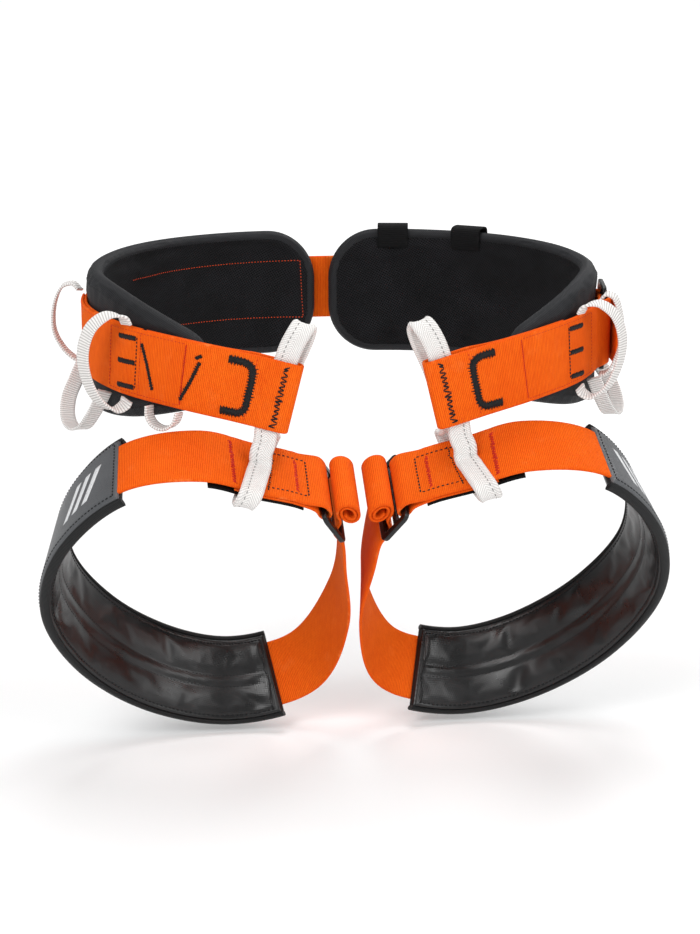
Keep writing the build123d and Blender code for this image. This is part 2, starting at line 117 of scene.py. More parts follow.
def smooth(points, closed=False, per_span=30):
    """Points along the centripetal Catmull-Rom curve; only the first three columns are a place."""
    points = np.asarray(points, float)
    if closed:
        around = np.vstack([points[-1:], points, points[:2]])
    else:
        around = np.vstack([2 * points[0] - points[1], points, 2 * points[-1] - points[-2]])
    knots = np.concatenate([[0.0], np.cumsum(np.linalg.norm(np.diff(around[:, :3], axis=0), axis=1) ** 0.5)])
    curve = []
    for i in range(1, len(around) - 2):
        t0, t1, t2, t3 = knots[i - 1:i + 3]
        p0, p1, p2, p3 = around[i - 1:i + 3]
        t = np.linspace(t1, t2, per_span, endpoint=False)[:, None]
        a1 = ((t1 - t) * p0 + (t - t0) * p1) / (t1 - t0)
        a2 = ((t2 - t) * p1 + (t - t1) * p2) / (t2 - t1)
        a3 = ((t3 - t) * p2 + (t - t2) * p3) / (t3 - t2)
        b1 = ((t2 - t) * a1 + (t - t0) * a2) / (t2 - t0)
        b2 = ((t3 - t) * a2 + (t - t1) * a3) / (t3 - t1)
        curve.append(((t2 - t) * b1 + (t - t1) * b2) / (t2 - t1))
    return np.vstack(curve + [around[-2:-1]])


def lengths(points):
    return np.concatenate([[0.0], np.cumsum(np.linalg.norm(np.diff(points[:, :3], axis=0), axis=1))])


def resampled(points, step, closed=False):
    """Evenly spaced rows of a smooth curve through the given rows."""
    track = smooth(points, closed, 12 if len(points) > 60 else 30)
    at = lengths(track)
    count = max(6, int(round(at[-1] / step)))
    t = np.linspace(0, at[-1], count + (not closed), endpoint=not closed)
    return np.column_stack([np.interp(t, at, column) for column in track.T])


class Band:
    def __init__(self, stations, axis, centre, closed=False):
        self.track = smooth(stations, closed, 40)
        self.axis, self.centre, self.closed = np.array(axis, float), np.array(centre, float), closed
        self.s = lengths(self.track)
        self.length = self.s[-1]

    def sample(self, s):
        s = s % self.length if self.closed else np.clip(s, 0.0, self.length)
        return np.column_stack([np.interp(s, self.s, column) for column in self.track.T])

    def frames(self, s):
        """Points of the centre line, and the directions along, across and outward at each."""
        s = np.atleast_1d(np.asarray(s, float))
        here = self.sample(s)
        along = unit((self.sample(s + 2.0) - self.sample(s - 2.0))[:, :3])
        across = unit(self.axis - along * (along @ self.axis)[:, None])
        outward = np.cross(along, across)
        outward *= np.sign(((here[:, :3] - self.centre) * outward).sum(1))[:, None]
        c, k = np.cos(np.radians(here[:, 3:])), np.sin(np.radians(here[:, 3:]))
        return here[:, :3], along, c * across + k * outward, c * outward - k * across

    def place(self, s, w=0.0, n=0.0):
        s, w, n = np.broadcast_arrays(*(np.asarray(x, float) for x in (s, w, n)))
        point, along, across, outward = self.frames(s.ravel())
        beyond = 0 * s if self.closed else s - np.clip(s, 0.0, self.length)
        for reach, way in ((beyond, along), (w, across), (n, outward)):
            point = point + reach.ravel()[:, None] * way
        return point.reshape(s.shape + (3,))

    def outward(self, s):
        return self.frames(np.ravel(s))[3].reshape(np.shape(s) + (3,))


BELT = Band(BELT_HALF + [(0, 127, 0, 0)] + [(-x, y, z, lean) for x, y, z, lean in reversed(BELT_HALF)],
            (0, 0, 1), (0, 0, 0))
LEG = Band([tuple(LEG_ORIGIN + (x, 0, 0) + up * LEG_UP + out * LEG_AXIS) + (lean,)
            for x, up, out, lean in LEG_STATIONS],
           LEG_AXIS, LEG_ORIGIN + (100, 0, 0) - 100 * LEG_UP, closed=True)
HALF_BELT = BELT.length / 2


UNTAGGED = 999.0    # a tag far from every seam


class Buckle:
    """The plane of a flat adjuster: d runs towards its fixed bar and h out of its face."""

    def __init__(self, band, s, n, heading):
        point, along, across, outward = (a[0] for a in band.frames(s))
        self.origin = point + n * outward
        self.along, self.across, self.outward = heading * along, across, outward
        self.fixed_bar = FRAME_LENGTH / 2 - FRAME_BAR / 2
        self.over = FRAME_THICK / 2 + BAR_CLEAR + WEB_THICK / 2

    def rows(self, route):
        """Strap rows for a route in the buckle's plane: place, width direction and no tag."""
        return [tuple(self.origin + d * self.along + h * self.outward) + tuple(self.across) + (UNTAGGED,)
                for d, h in route]

    def fixed_fold(self):
        middle = self.fixed_bar - 0.9
        turn = [(middle - self.over * sin(pi * k / 6), self.over * cos(pi * k / 6)) for k in range(7)]
        return self.rows([(self.fixed_bar + 6, self.over - 0.9), (self.fixed_bar + 3, self.over)] + turn
                         + [(self.fixed_bar + 5, -self.over)])

    def threaded(self):
        return self.rows([(-20, -self.over), (-9, -self.over), (-7.4, -2.6), (-5, 0.0), (-1.6, 4.1),
                          (1.0, 5.2)])


WAIST_ADJUSTER = Buckle(BELT, 172.0, 4.3, -1)
LEG_ADJUSTER = Buckle(LEG, LEG_BUCKLE, 0.0, 1)


def rows(band, route):
    """Strap rows along a band for (s, n) pairs; the tag is s."""
    s, n = np.array(route, float).T
    return [tuple(p) + tuple(a) + (t,) for p, a, t in zip(band.place(s, 0, n), band.frames(s)[2], s)]


def level(start, end, n, step=5.0):
    return [(s, n) for s in np.linspace(start, end, max(2, int(abs(end - start) / step)))]


# ---------------------------------------------------------------- meshes
class Shape:
    """Vertices, faces, UVs (metres) and material numbers of one piece, gathered part by part."""

    def __init__(self):
        self.points, self.faces, self.uvs, self.kinds, self.count = [], [], [], [], 0

    def add(self, points):
        points = np.asarray(points, float).reshape(-1, 3)
        self.points.append(points)
        self.count += len(points)
        return self.count - len(points)

    def quads(self, corners, uv, kind=0):
        """corners: (N, k) vertex numbers; uv: (N, k, 2); kind: one number or one for each face."""
        self.faces.append(np.asarray(corners, int))
        self.uvs.append(np.asarray(uv, float))
        self.kinds.append(np.broadcast_to(kind, len(corners)))

    def sheet(self, points, uv, around=False, closed=False, kind=0):
        """A grid of quads; around joins its last column to the first, closed its last row."""
        r, c = points.shape[:2]
        start = self.add(points)
        i, j = np.meshgrid(np.arange(r - (not closed)), np.arange(c - (not around)), indexing="ij")
        i, j = i.ravel(), j.ravel()
        index = lambda a, b: start + (a % r) * c + b % c
        self.quads(np.column_stack([index(i, j), index(i, j + 1), index(i + 1, j + 1), index(i + 1, j)]),
                   np.stack([uv[i, j], uv[i, j + 1], uv[i + 1, j + 1], uv[i + 1, j]], axis=1), kind)
        return start

    def cap(self, ring, uv, kind=0):
        self.quads([ring], [uv], kind)

    def make(self, name, materials, side=LEFT):
        points = np.vstack(self.points) * MM
        points[:, 0] *= side
        mesh = bpy.data.meshes.new(name)
        mesh.vertices.add(len(points))
        mesh.vertices.foreach_set("co", points.ravel())
        order = -1 if side == RIGHT else 1
        corner_counts = np.concatenate([np.full(len(f), f.shape[1]) for f in self.faces])
        mesh.loops.add(int(corner_counts.sum()))
        mesh.loops.foreach_set("vertex_index", np.concatenate([f[:, ::order].ravel() for f in self.faces]))
        mesh.polygons.add(len(corner_counts))
        mesh.polygons.foreach_set("loop_start", np.concatenate([[0], np.cumsum(corner_counts)[:-1]]))
        mesh.polygons.foreach_set("material_index", np.concatenate(self.kinds))
        mesh.polygons.foreach_set("use_smooth", corner_counts == 4)
        layer = mesh.uv_layers.new(name="UVMap")
        layer.data.foreach_set("uv", np.concatenate([u[:, ::order].ravel() for u in self.uvs]))
        mesh.update(calc_edges=True)
        mesh.validate()
        for material in np.atleast_1d(materials):
            mesh.materials.append(material)
        piece = bpy.data.objects.new(name, mesh)
        bpy.context.scene.collection.objects.link(piece)
        return piece


def flat_profile(width, thick, columns=10, bead=0.0, bead_at=0.0, bead_width=1.5):
    """Cross-section of a strap with round edges, counter-clockwise; bead thickens it near its edges."""
    half, r = width / 2, thick / 2
    turn = np.linspace(-pi / 2, pi / 2, 6)[1:-1]
    face = np.linspace(half - r, r - half, columns)
    thicker = r + bead * np.exp(-((np.abs(face) - bead_at) / bead_width) ** 2)
    right = np.column_stack([half - r + r * np.cos(turn), r * np.sin(turn)])
    return np.vstack([right, np.column_stack([face, thicker]), -right, np.column_stack([-face, -thicker])])


def sweep(shape, track, profile, closed=False, relief=None, kind=0):
    """A strap along rows of place, width direction and tag."""
    centre, across = track[:, :3], track[:, 3:6]
    if closed:
        along = unit(np.roll(centre, -1, 0) - np.roll(centre, 1, 0))
    else:
        along = unit(np.gradient(centre, axis=0))
    side = unit(across - along * (along * across).sum(1)[:, None])
    out = np.cross(along, side)
    w, n = profile[:, 0], profile[:, 1]
    height = np.broadcast_to(n, (len(track), len(n))).copy()
    if relief is not None:
        height += np.sign(n) * relief(track[:, 6:7], w[None, :]) * (np.abs(n) > 0.6 * np.abs(n).max())
    points = centre[:, None] + w[None, :, None] * side[:, None] + height[..., None] * out[:, None]
    u = lengths(np.vstack([centre, centre[:1]]))[:len(track) + closed]
    uv = np.stack(np.broadcast_arrays(u[:, None], np.append(w, w[0])[None, :]), axis=-1) * MM
    start = shape.sheet(points, uv, around=True, closed=closed, kind=kind)
    if not closed:
        c = len(w)
        last = start + (len(track) - 1) * c
        shape.cap(np.arange(start, start + c)[::-1], uv[0, :-1][::-1], kind)
        shape.cap(np.arange(last, last + c), uv[-1, :-1], kind)
    return points


def finished(piece, body, nodes=()):
    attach(piece, body)
    if nodes:
        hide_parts(*nodes)
    return piece


# ---------------------------------------------------------------- materials
class Graph:
    """A material and short ways to add nodes to it."""

    def __init__(self, name, **values):
        self.material = bpy.data.materials.new(name)
        self.material.use_nodes = True
        self.tree = self.material.node_tree
        self.tree.nodes.clear()
        self.shader = self.tree.nodes.new("ShaderNodeBsdfPrincipled")
        output = self.tree.nodes.new("ShaderNodeOutputMaterial")
        self.tree.links.new(self.shader.outputs[0], output.inputs[0])
        for socket, value in values.items():
            self.shader.inputs[socket.replace("_", " ")].default_value = value

    def node(self, kind, output=0, inputs=(), **settings):
        node = self.tree.nodes.new("ShaderNode" + kind)
        for key, value in settings.items():
            setattr(node, key, value)
        for key, value in dict(inputs).items():
            if isinstance(value, bpy.types.NodeSocket):
                self.tree.links.new(value, node.inputs[key])
            else:
                node.inputs[key].default_value = value
        return node.outputs[output]

    def math(self, operation, *values):
        return self.node("Math", operation=operation, inputs=enumerate(values))

    def scaled(self, value, factor, shift=0.0):
        return self.math("MULTIPLY_ADD", value, factor, shift)

    def wave(self, value, pitch, phase=0.0):
        """A sine of 0 to 1 that repeats every pitch."""
        return self.scaled(self.math("SINE", self.scaled(value, 2 * pi / pitch, phase)), 0.5, 0.5)

    def uv(self):
        coordinates = self.node("UVMap", uv_map="UVMap")
        split = self.tree.nodes.new("ShaderNodeSeparateXYZ")
        self.tree.links.new(coordinates, split.inputs[0])
        return split.outputs[0], split.outputs[1]

    def place(self):
        return self.node("TexCoord", "Object")

    def noise(self, scale, detail=3.0, rough=0.55, vector=None, stretch=None):
        vector = self.place() if vector is None else vector
        if stretch is not None:
            vector = self.node("Mapping", inputs={"Vector": vector, "Scale": stretch})
        return self.node("TexNoise", inputs={"Vector": vector, "Scale": scale, "Detail": detail,
                                             "Roughness": rough})

    def ramp(self, value, low, high, out_low=0.0, out_high=1.0):
        return self.node("MapRange", inputs={0: value, 1: low, 2: high, 3: out_low, 4: out_high})

    def mix(self, share, a, b, blend="MIX"):
        return self.node("Mix", 2, {0: share, 6: a, 7: b}, data_type="RGBA", blend_type=blend)

    def colour(self, socket):
        self.tree.links.new(socket, self.shader.inputs["Base Color"])

    def rough(self, socket):
        self.tree.links.new(socket, self.shader.inputs["Roughness"])

    def bump(self, height, distance, strength=1.0, below=None):
        inputs = {"Height": height, "Distance": distance, "Strength": strength}
        if below is not None:
            inputs["Normal"] = below
        made = self.node("Bump", inputs=inputs)
        self.tree.links.new(made, self.shader.inputs["Normal"])
        return made


def rgb(r, g, b):
    """A linear colour from 0-255 screen values."""
    linear = [((x / 255 + 0.055) / 1.055) ** 2.4 if x > 10 else x / 255 / 12.92 for x in (r, g, b)]
    return (*linear, 1.0)


def webbing(name, dark, light, worn, pitch=0.00118, half=0.0225, shine=0.08):
    """Flat woven strap: ribs across it with painted shade in their hollows, yarns along it, a finer selvedge,
    and fuzz where it is worn.
    """
    g = Graph(name, Roughness=0.8, Specular_IOR_Level=shine)
    u, v = g.uv()
    wobble = g.scaled(g.noise(240, 2), 0.0003, -0.00015)
    rib = g.wave(g.math("ADD", u, wobble), pitch)
    rounded = g.math("POWER", rib, 0.6)
    shift = g.math("MULTIPLY", g.math("FLOOR", g.scaled(u, 1 / pitch)), pi)
    yarn = g.scaled(g.math("SINE", g.math("ADD", g.scaled(v, 2 * pi / 0.0011), shift)), 0.5, 0.5)
    edge = g.ramp(g.math("ABSOLUTE", v), half - 0.0016, half - 0.0006)
    # The weave value is low in the rib hollows, and the colour below paints shade there.
    weave = g.math("ADD", g.scaled(rounded, 0.7), g.math("MULTIPLY", rounded, g.scaled(yarn, 0.3)))
    weave = g.math("MULTIPLY", weave, g.scaled(edge, -0.45, 1.0))
    patches = g.ramp(g.noise(28, 4, 0.6), 0.3, 0.72)
    streaks = g.ramp(g.noise(900, 2, 0.5, stretch=(1.0, 1.0, 0.2)), 0.35, 0.75)
    wear = g.math("ADD", g.scaled(patches, 0.2), g.scaled(streaks, 0.22))
    # shade holds the ribs' painted shade plus real wear; dark is the strap's colour seen in shade, light its
    # lit colour.
    shade = g.math("ADD", g.scaled(weave, 0.62), wear)
    body = g.mix(g.ramp(shade, 0.05, 0.95), dark, light)
    rubbed = g.math("MULTIPLY", g.ramp(g.noise(70, 5, 0.65), 0.58, 0.74), g.scaled(edge, 0.5, 0.12))
    g.colour(g.mix(rubbed, body, worn))
    g.rough(g.scaled(g.noise(60, 2), 0.16, 0.74))
    fuzz = g.bump(g.noise(2600, 2), 0.00008, 0.35)
    g.bump(weave, 0.00034, 0.85, fuzz)
    return g.material


def ribbed_tape(name, dark, light):
    """Stiff white tape with coarse ribs across it, slightly warm painted shade in the hollows between them,
    and random warm stains.
    """
    g = Graph(name, Roughness=0.65, Specular_IOR_Level=0.2)
    u, v = g.uv()
    rib = g.math("POWER", g.wave(u, 0.0017), 0.7)
    yarn = g.wave(v, 0.0009)
    weave = g.math("ADD", g.scaled(rib, 0.8), g.math("MULTIPLY", rib, g.scaled(yarn, 0.2)))
    stain = g.ramp(g.noise(45, 4, 0.6), 0.35, 0.75)
    # Painted shade: the rib hollows take the dark colour.
    woven = g.mix(g.ramp(weave, 0.0, 0.8), dark, light)
    g.colour(g.mix(g.scaled(stain, 0.25), woven, rgb(214, 205, 202)))
    g.rough(g.scaled(stain, 0.15, 0.55))
    g.bump(weave, 0.0003, 0.8, g.bump(g.noise(2400, 2), 0.00006, 0.3))
    return g.material


def tubular(name, dark, light):
    """Soft tubular webbing: a fine herringbone knit."""
    g = Graph(name, Roughness=0.85, Specular_IOR_Level=0.12)
    u, v = g.uv()
    fold = g.math("ABSOLUTE", v)
    diagonal = g.wave(g.math("ADD", u, g.scaled(fold, 0.8)), 0.0016)
    knit = g.math("MULTIPLY", g.math("POWER", diagonal, 0.7), g.scaled(g.wave(v, 0.0012), 0.5, 0.5))
    soil = g.ramp(g.noise(50, 4, 0.6), 0.4, 0.8)
    g.colour(g.mix(g.scaled(soil, 0.3), g.mix(g.ramp(knit, 0.0, 0.7), dark, light), rgb(206, 202, 200)))
    g.rough(g.scaled(soil, 0.1, 0.75))
    g.bump(knit, 0.00022, 0.8, g.bump(g.noise(2000, 2), 0.0001, 0.4))
    return g.material


def spacer_mesh(name):
    """Black three-dimensional mesh: small oval holes in slanting rows."""
    g = Graph(name, Roughness=0.85, Specular_IOR_Level=0.15)
    u, v = g.uv()
    first = g.wave(g.math("ADD", u, g.scaled(v, 0.62)), 0.0019)
    second = g.wave(g.math("SUBTRACT", u, g.scaled(v, 1.9)), 0.0034)
    net = g.math("MAXIMUM", first, second)
    hole = g.ramp(net, 0.45, 0.85)
    dust = g.ramp(g.noise(35, 4, 0.6), 0.35, 0.75)
    g.colour(g.mix(hole, (0.0014, 0.0014, 0.0015, 1), g.mix(dust, rgb(23, 23, 25), rgb(38, 38, 41))))
    g.rough(g.scaled(dust, 0.12, 0.78))
    g.bump(net, 0.0006, 0.9, g.bump(g.noise(1500, 2), 0.0001, 0.3))
    return g.material


def twill(name, dark, light, pitch=0.0015, roughness=0.7, depth=0.00028):
    """Tough diagonal-ribbed cloth."""
    g = Graph(name, Roughness=roughness, Specular_IOR_Level=0.25)
    u, v = g.uv()
    rib = g.wave(g.math("ADD", u, g.math("ADD", v, g.scaled(g.noise(180, 2), 0.0003))), pitch)
    grain = g.noise(1200, 2)
    cloud = g.ramp(g.noise(22, 4, 0.6), 0.3, 0.75)
    tone = g.math("ADD", g.scaled(rib, 0.45), g.math("ADD", g.scaled(cloud, 0.35), g.scaled(grain, 0.2)))
    g.colour(g.mix(g.ramp(tone, 0.1, 0.85), dark, light))
    g.rough(g.scaled(cloud, 0.16, roughness - 0.08))
    g.bump(rib, depth, 0.75, g.bump(grain, 0.0001, 0.4))
    return g.material


def vinyl(name):
    """Slick black coated cloth: the weave shows through, and it is scuffed dull in places."""
    g = Graph(name, Roughness=0.3, Specular_IOR_Level=0.5)
    u, v = g.uv()
    warp = g.math("POWER", g.wave(g.math("ADD", u, g.scaled(v, 0.35)), 0.0013), 0.8)
    weft = g.math("POWER", g.wave(g.math("SUBTRACT", v, g.scaled(u, 0.15)), 0.0013), 0.8)
    weave = g.math("MULTIPLY", warp, weft)
    scuff = g.ramp(g.noise(38, 5, 0.65), 0.42, 0.72)
    g.colour(g.mix(scuff, g.mix(weave, rgb(5, 5, 6), rgb(11, 11, 12)), rgb(18, 18, 20)))
    g.rough(g.math("ADD", g.scaled(scuff, 0.16, 0.24), g.scaled(g.noise(300, 3), 0.08)))
    g.bump(weave, 0.0001, 0.4, g.bump(g.noise(40, 2, 0.4), 0.0004, 0.2))
    return g.material


def coated_grey(name):
    """Grey coated outer cloth of the leg pads: matt, finely pebbled, paler where it is rubbed."""
    g = Graph(name, Roughness=0.5, Specular_IOR_Level=0.5, Sheen_Weight=0.05)
    u, v = g.uv()
    weave = g.math("MULTIPLY", g.wave(g.math("ADD", u, v), 0.0009), g.wave(g.math("SUBTRACT", u, v), 0.0009))
    cloud = g.ramp(g.noise(26, 5, 0.6), 0.32, 0.72)
    base = g.mix(g.ramp(weave, 0.0, 0.7), rgb(58, 60, 63), rgb(84, 86, 89))
    g.colour(g.mix(g.scaled(cloud, 0.4), base, rgb(100, 102, 105)))
    g.rough(g.scaled(cloud, 0.14, 0.42))
    g.bump(weave, 0.00014, 0.6, g.bump(g.noise(50, 3), 0.0006, 0.25))
    return g.material


def thread(name, dark, light, roughness=0.55):
    """Twisted sewing thread."""
    g = Graph(name, Roughness=roughness, Specular_IOR_Level=0.25)
    u, v = g.uv()
    ply = g.wave(g.math("ADD", u, g.scaled(v, 0.00012)), 0.0005)
    g.colour(g.mix(g.math("MULTIPLY", ply, g.ramp(g.noise(400, 2), 0.3, 0.7, 0.6, 1.0)), dark, light))
    g.rough(g.scaled(g.noise(200, 2), 0.2, roughness - 0.1))
    g.bump(ply, 0.0001, 0.7)
    return g.material


def coated_steel(name, dark, light, bare):
    """Black coated steel: a fine orange-peel, scratches, and coating rubbed thin along the edges."""
    g = Graph(name, Roughness=0.35, Metallic=0.55, Specular_IOR_Level=0.5, Coat_Weight=0.3,
              Coat_Roughness=0.25)
    peel = g.noise(900, 3)
    scratch = g.ramp(g.noise(160, 6, 0.7, stretch=(1.0, 6.0, 1.0)), 0.6, 0.68)
    worn = g.ramp(g.node("NewGeometry", "Pointiness"), 0.55, 0.66)
    patch = g.ramp(g.noise(240, 4, 0.6), 0.45, 0.62)
    base = g.mix(g.noise(60, 3), dark, light)
    g.colour(g.mix(g.math("MULTIPLY", g.math("MAXIMUM", g.scaled(scratch, 0.5), worn), patch), base, bare))
    g.rough(g.math("ADD", g.scaled(patch, 0.12, 0.3), g.scaled(scratch, 0.15)))
    g.bump(peel, 0.00006, 0.5, g.bump(scratch, 0.00008, 0.4))
    return g.material


def printed(name):
    """Pale printed film: a trace of the cloth below, and worn specks."""
    g = Graph(name, Roughness=0.42, Specular_IOR_Level=0.5)
    speck = g.ramp(g.noise(700, 4, 0.7), 0.6, 0.68)
    g.colour(g.mix(speck, g.mix(g.noise(60, 3), rgb(205, 207, 209), rgb(232, 233, 234)), rgb(120, 122, 125)))
    g.bump(g.noise(900, 2), 0.00008, 0.4)
    return g.material


# Each webbing's dark colour is its colour in shade and its light colour the lit one: painted shade in the rib
# hollows.
ORANGE = webbing("orange_webbing", rgb(212, 66, 6), rgb(250, 114, 24), rgb(255, 150, 78))
BLACK_TAPE = webbing("black_tape", rgb(7, 7, 8), rgb(22, 22, 23), rgb(48, 48, 50), 0.0013, 0.011, 0.15)
# The white tape's darker colour is the painted shade in its rib hollows.
WHITE_TAPE = ribbed_tape("white_tape", rgb(178, 175, 173), rgb(238, 236, 233))
RING = tubular("ring_webbing", rgb(196, 193, 191), rgb(240, 238, 235))
PAD_MESH = spacer_mesh("pad_mesh")
PAD_TWILL = twill("pad_cover", rgb(15, 15, 17), rgb(44, 45, 48))
LEG_GREY = coated_grey("leg_outer_fabric")
LEG_VINYL = vinyl("leg_inner_vinyl")
PIPING = twill("black_piping", rgb(8, 8, 9), rgb(26, 27, 28), 0.0011, 0.55, 0.0002)
BLACK_THREAD = thread("black_thread", rgb(7, 7, 8), rgb(34, 36, 38))
RED_THREAD = thread("red_thread", rgb(170, 22, 8), rgb(226, 52, 22))
ORANGE_THREAD = thread("orange_thread", rgb(190, 50, 14), rgb(246, 92, 34))
WHITE_THREAD = thread("white_thread", rgb(118, 116, 115), rgb(168, 166, 165))
FRAME_METAL = coated_steel("buckle_frame_metal", rgb(12, 12, 13), rgb(26, 27, 28), rgb(96, 96, 98))
BAR_METAL = coated_steel("buckle_bar_metal", rgb(16, 16, 17), rgb(34, 35, 36), rgb(90, 90, 92))
PALE_PRINT = printed("pale_print")


# ---------------------------------------------------------------- threads
def threads(shape, a, b, out, radius, kind=0, lift=0.35, sink=0.75):
    """Short lengths of thread from points a to points b, bowed out of the cloth, their ends sunk in it."""
    a, b, out = (np.asarray(x, float).reshape(-1, 3) for x in (a, b, out))
    along = unit(b - a)
    side = unit(np.cross(out, along))
    up = np.cross(along, side)
    reach = np.array([0.0, 0.14, 0.38, 0.62, 0.86, 1.0])
    size = np.array([0.35, 0.85, 1.0, 1.0, 0.85, 0.35]) * radius
    high = (np.sin(reach * pi) * (lift + sink) - sink) * radius
    centre = a[:, None] + reach[None, :, None] * (b - a)[:, None] + high[None, :, None] * up[:, None]
    angle = np.arange(6) * pi / 3
    ring = np.cos(angle)[None, :, None] * side[:, None] + np.sin(angle)[None, :, None] * up[:, None]
    points = centre[:, :, None] + size[None, :, None, None] * ring[:, None]
    count = len(a)
    start = shape.add(points)
    k, i, j = (x.ravel() for x in np.meshgrid(np.arange(count), np.arange(5), np.arange(6), indexing="ij"))
    at = lambda row, column: start + k * 36 + row * 6 + column % 6
    u = (np.linalg.norm(b - a, axis=1)[:, None] * reach + 3.7 * np.arange(count)[:, None]) * MM
    v = lambda column: column / 6
    shape.quads(np.column_stack([at(i, j), at(i, j + 1), at(i + 1, j + 1), at(i + 1, j)])[:, ::-1],
                np.stack([np.column_stack([u[k, i], v(j)]), np.column_stack([u[k, i], v(j + 1)]),
                          np.column_stack([u[k, i + 1], v(j + 1)]), np.column_stack([u[k, i + 1], v(j)])],
                         axis=1)[:, ::-1], kind)
    for row, step in ((0, 1), (5, -1)):
        ends = start + np.arange(count)[:, None] * 36 + row * 6 + np.arange(6)[None, ::step]
        shape.quads(ends, np.zeros((count, 6, 2)), kind)


class Cloth:
    """A face that thread lies on: a band at a fixed height, or the surface of a finished piece."""

    def __init__(self, band, height, piece=None, side=LEFT, inward=False):
        self.band, self.height, self.side, self.inward = band, height, side, inward
        self.tree = None
        if piece is not None:
            co = np.zeros(len(piece.data.vertices) * 3)
            piece.data.vertices.foreach_get("co", co)
            self.tree = BVHTree.FromPolygons([Vector(p) for p in co.reshape(-1, 3)],
                                             [tuple(p.vertices) for p in piece.data.polygons])

    def at(self, route):
        """Points and outward directions for (s, w) pairs."""
        s, w = np.asarray(route, float).T
        out = self.band.outward(s) * (-1 if self.inward else 1)
        points = self.band.place(s, w, self.height)
        if self.tree is not None:
            flip = np.array([self.side, 1.0, 1.0])
            for i, (p, o) in enumerate(zip(points * flip * MM, out * flip)):
                hit = self.tree.ray_cast(Vector(p + 0.008 * o), Vector(-o), 0.02)[0]
                if hit is not None:
                    points[i] = np.array(hit) / MM * flip
        return points, out


def spaced(route, pitch):
    """Points pitch apart along a polyline of (s, w) pairs."""
    route = np.asarray(route, float)
    at = np.concatenate([[0.0], np.cumsum(np.linalg.norm(np.diff(route, axis=0), axis=1))])
    t = np.linspace(0, at[-1], max(2, int(round(at[-1] / pitch)) + 1))
    return np.column_stack([np.interp(t, at, column) for column in route.T])


def running(shape, cloth, route, pitch=2.6, share=0.72, radius=0.28, kind=0, jitter=0.08, seed=1):
    """A row of running stitches."""
    dice = np.random.default_rng(seed)
    marks = spaced(route, pitch)
    marks = marks + dice.normal(0, jitter, marks.shape)
    a, b = marks[:-1], marks[:-1] + share * (marks[1:] - marks[:-1])
    pa, out = cloth.at(a)
    threads(shape, pa, cloth.at(b)[0], out, radius, kind)


def zigzag(shape, cloth, route, pitch=2.6, reach=2.5, radius=0.34, kind=0, seed=2, jitter=0.18, gap=0.1):
    """Zigzag stitches along a route."""
    dice = np.random.default_rng(seed)
    marks = spaced(route, pitch / 2)
    along = unit(np.gradient(marks, axis=0))
    sideways = np.column_stack([-along[:, 1], along[:, 0]])
    swing = np.where(np.arange(len(marks)) % 2, 1, -1)[:, None] * reach / 2
    marks = marks + sideways * swing + dice.normal(0, jitter, marks.shape)
    a, b = marks[:-1] + gap * (marks[1:] - marks[:-1]), marks[1:] - gap * (marks[1:] - marks[:-1])
    pa, out = cloth.at(a)
    threads(shape, pa, cloth.at(b)[0], out, radius, kind)


def satin(shape, cloth, route, width, kind=0, seed=3, radius=0.34, pitch=0.46, ragged=0.5, tooth=1.7):
    """A bar tack: threads side by side across its line, ragged at both edges, in two layers."""
    dice = np.random.default_rng(seed)
    for layer, share in ((0, 0.7), (1, 1.0)):
        marks = spaced(route, pitch)
        along = unit(np.gradient(marks, axis=0))
        sideways = np.column_stack([-along[:, 1], along[:, 0]])
        at = np.arange(len(marks)) * pitch
        teeth = (np.abs((at / tooth + 0.3 * layer) % 1.0 - 0.5) * 2) ** 1.5
        slant = 0.35 * along * (1 if layer else -1)
        ends = []
        for sign in (-1, 1):
            stray = dice.normal(0, 0.14 * ragged + 0.03, len(marks))
            reach = share * width / 2 + ragged * (teeth - 0.4) + stray
            ends.append(marks + sign * (sideways * np.maximum(reach, 0.3)[:, None] + slant))
        pa, out = cloth.at(ends[0])
        pb = cloth.at(ends[1])[0]
        raise_by = (0.1 + 0.3 * layer) * out
        threads(shape, pa + raise_by, pb + raise_by, out, radius, kind, lift=0.9, sink=1.2)


# ---------------------------------------------------------------- cloth simulation
def simulate(piece, pins, pressure, cap, shrink=0.0, frames=20):
    """Swells a padded piece with Blender's cloth, pinned where it is sewn, into its own mesh."""
    before = np.zeros(len(piece.data.vertices) * 3)
    piece.data.vertices.foreach_get("co", before)
    before = before.reshape(-1, 3)
    group = piece.vertex_groups.new(name="sewn")
    for share in np.unique(np.round(pins, 1)):
        if share > 0:
            group.add(np.flatnonzero(np.round(pins, 1) == share).tolist(), float(share), "REPLACE")
    modifier = piece.modifiers.new("Cloth", "CLOTH")
    cloth = modifier.settings
    cloth.quality = 6
    cloth.mass = 0.1
    cloth.tension_stiffness = cloth.compression_stiffness = 12
    cloth.shear_stiffness = 6
    cloth.bending_stiffness = 0.4
    cloth.air_damping = 3
    cloth.use_pressure = True
    cloth.uniform_pressure_force = pressure
    cloth.shrink_min = shrink
    cloth.vertex_group_mass = "sewn"
    cloth.pin_stiffness = 5
    cloth.effector_weights.gravity = 0
    modifier.collision_settings.use_collision = False
    scene = bpy.context.scene
    modifier.point_cache.frame_start, modifier.point_cache.frame_end = 1, frames
    for number in range(1, frames + 1):
        scene.frame_set(number)
    evaluated = piece.evaluated_get(bpy.context.evaluated_depsgraph_get())
    after = np.zeros_like(before).ravel()
    evaluated.data.vertices.foreach_get("co", after)
    moved = after.reshape(-1, 3) - before
    size = np.linalg.norm(moved, axis=1, keepdims=True)
    moved *= np.minimum(1.0, cap / np.maximum(size, 1e-9))
    moved[pins > 0.95] = 0
    piece.modifiers.remove(modifier)
    piece.vertex_groups.clear()
    scene.frame_set(1)
    piece.data.vertices.foreach_set("co", (before + moved).ravel())
    piece.data.update()


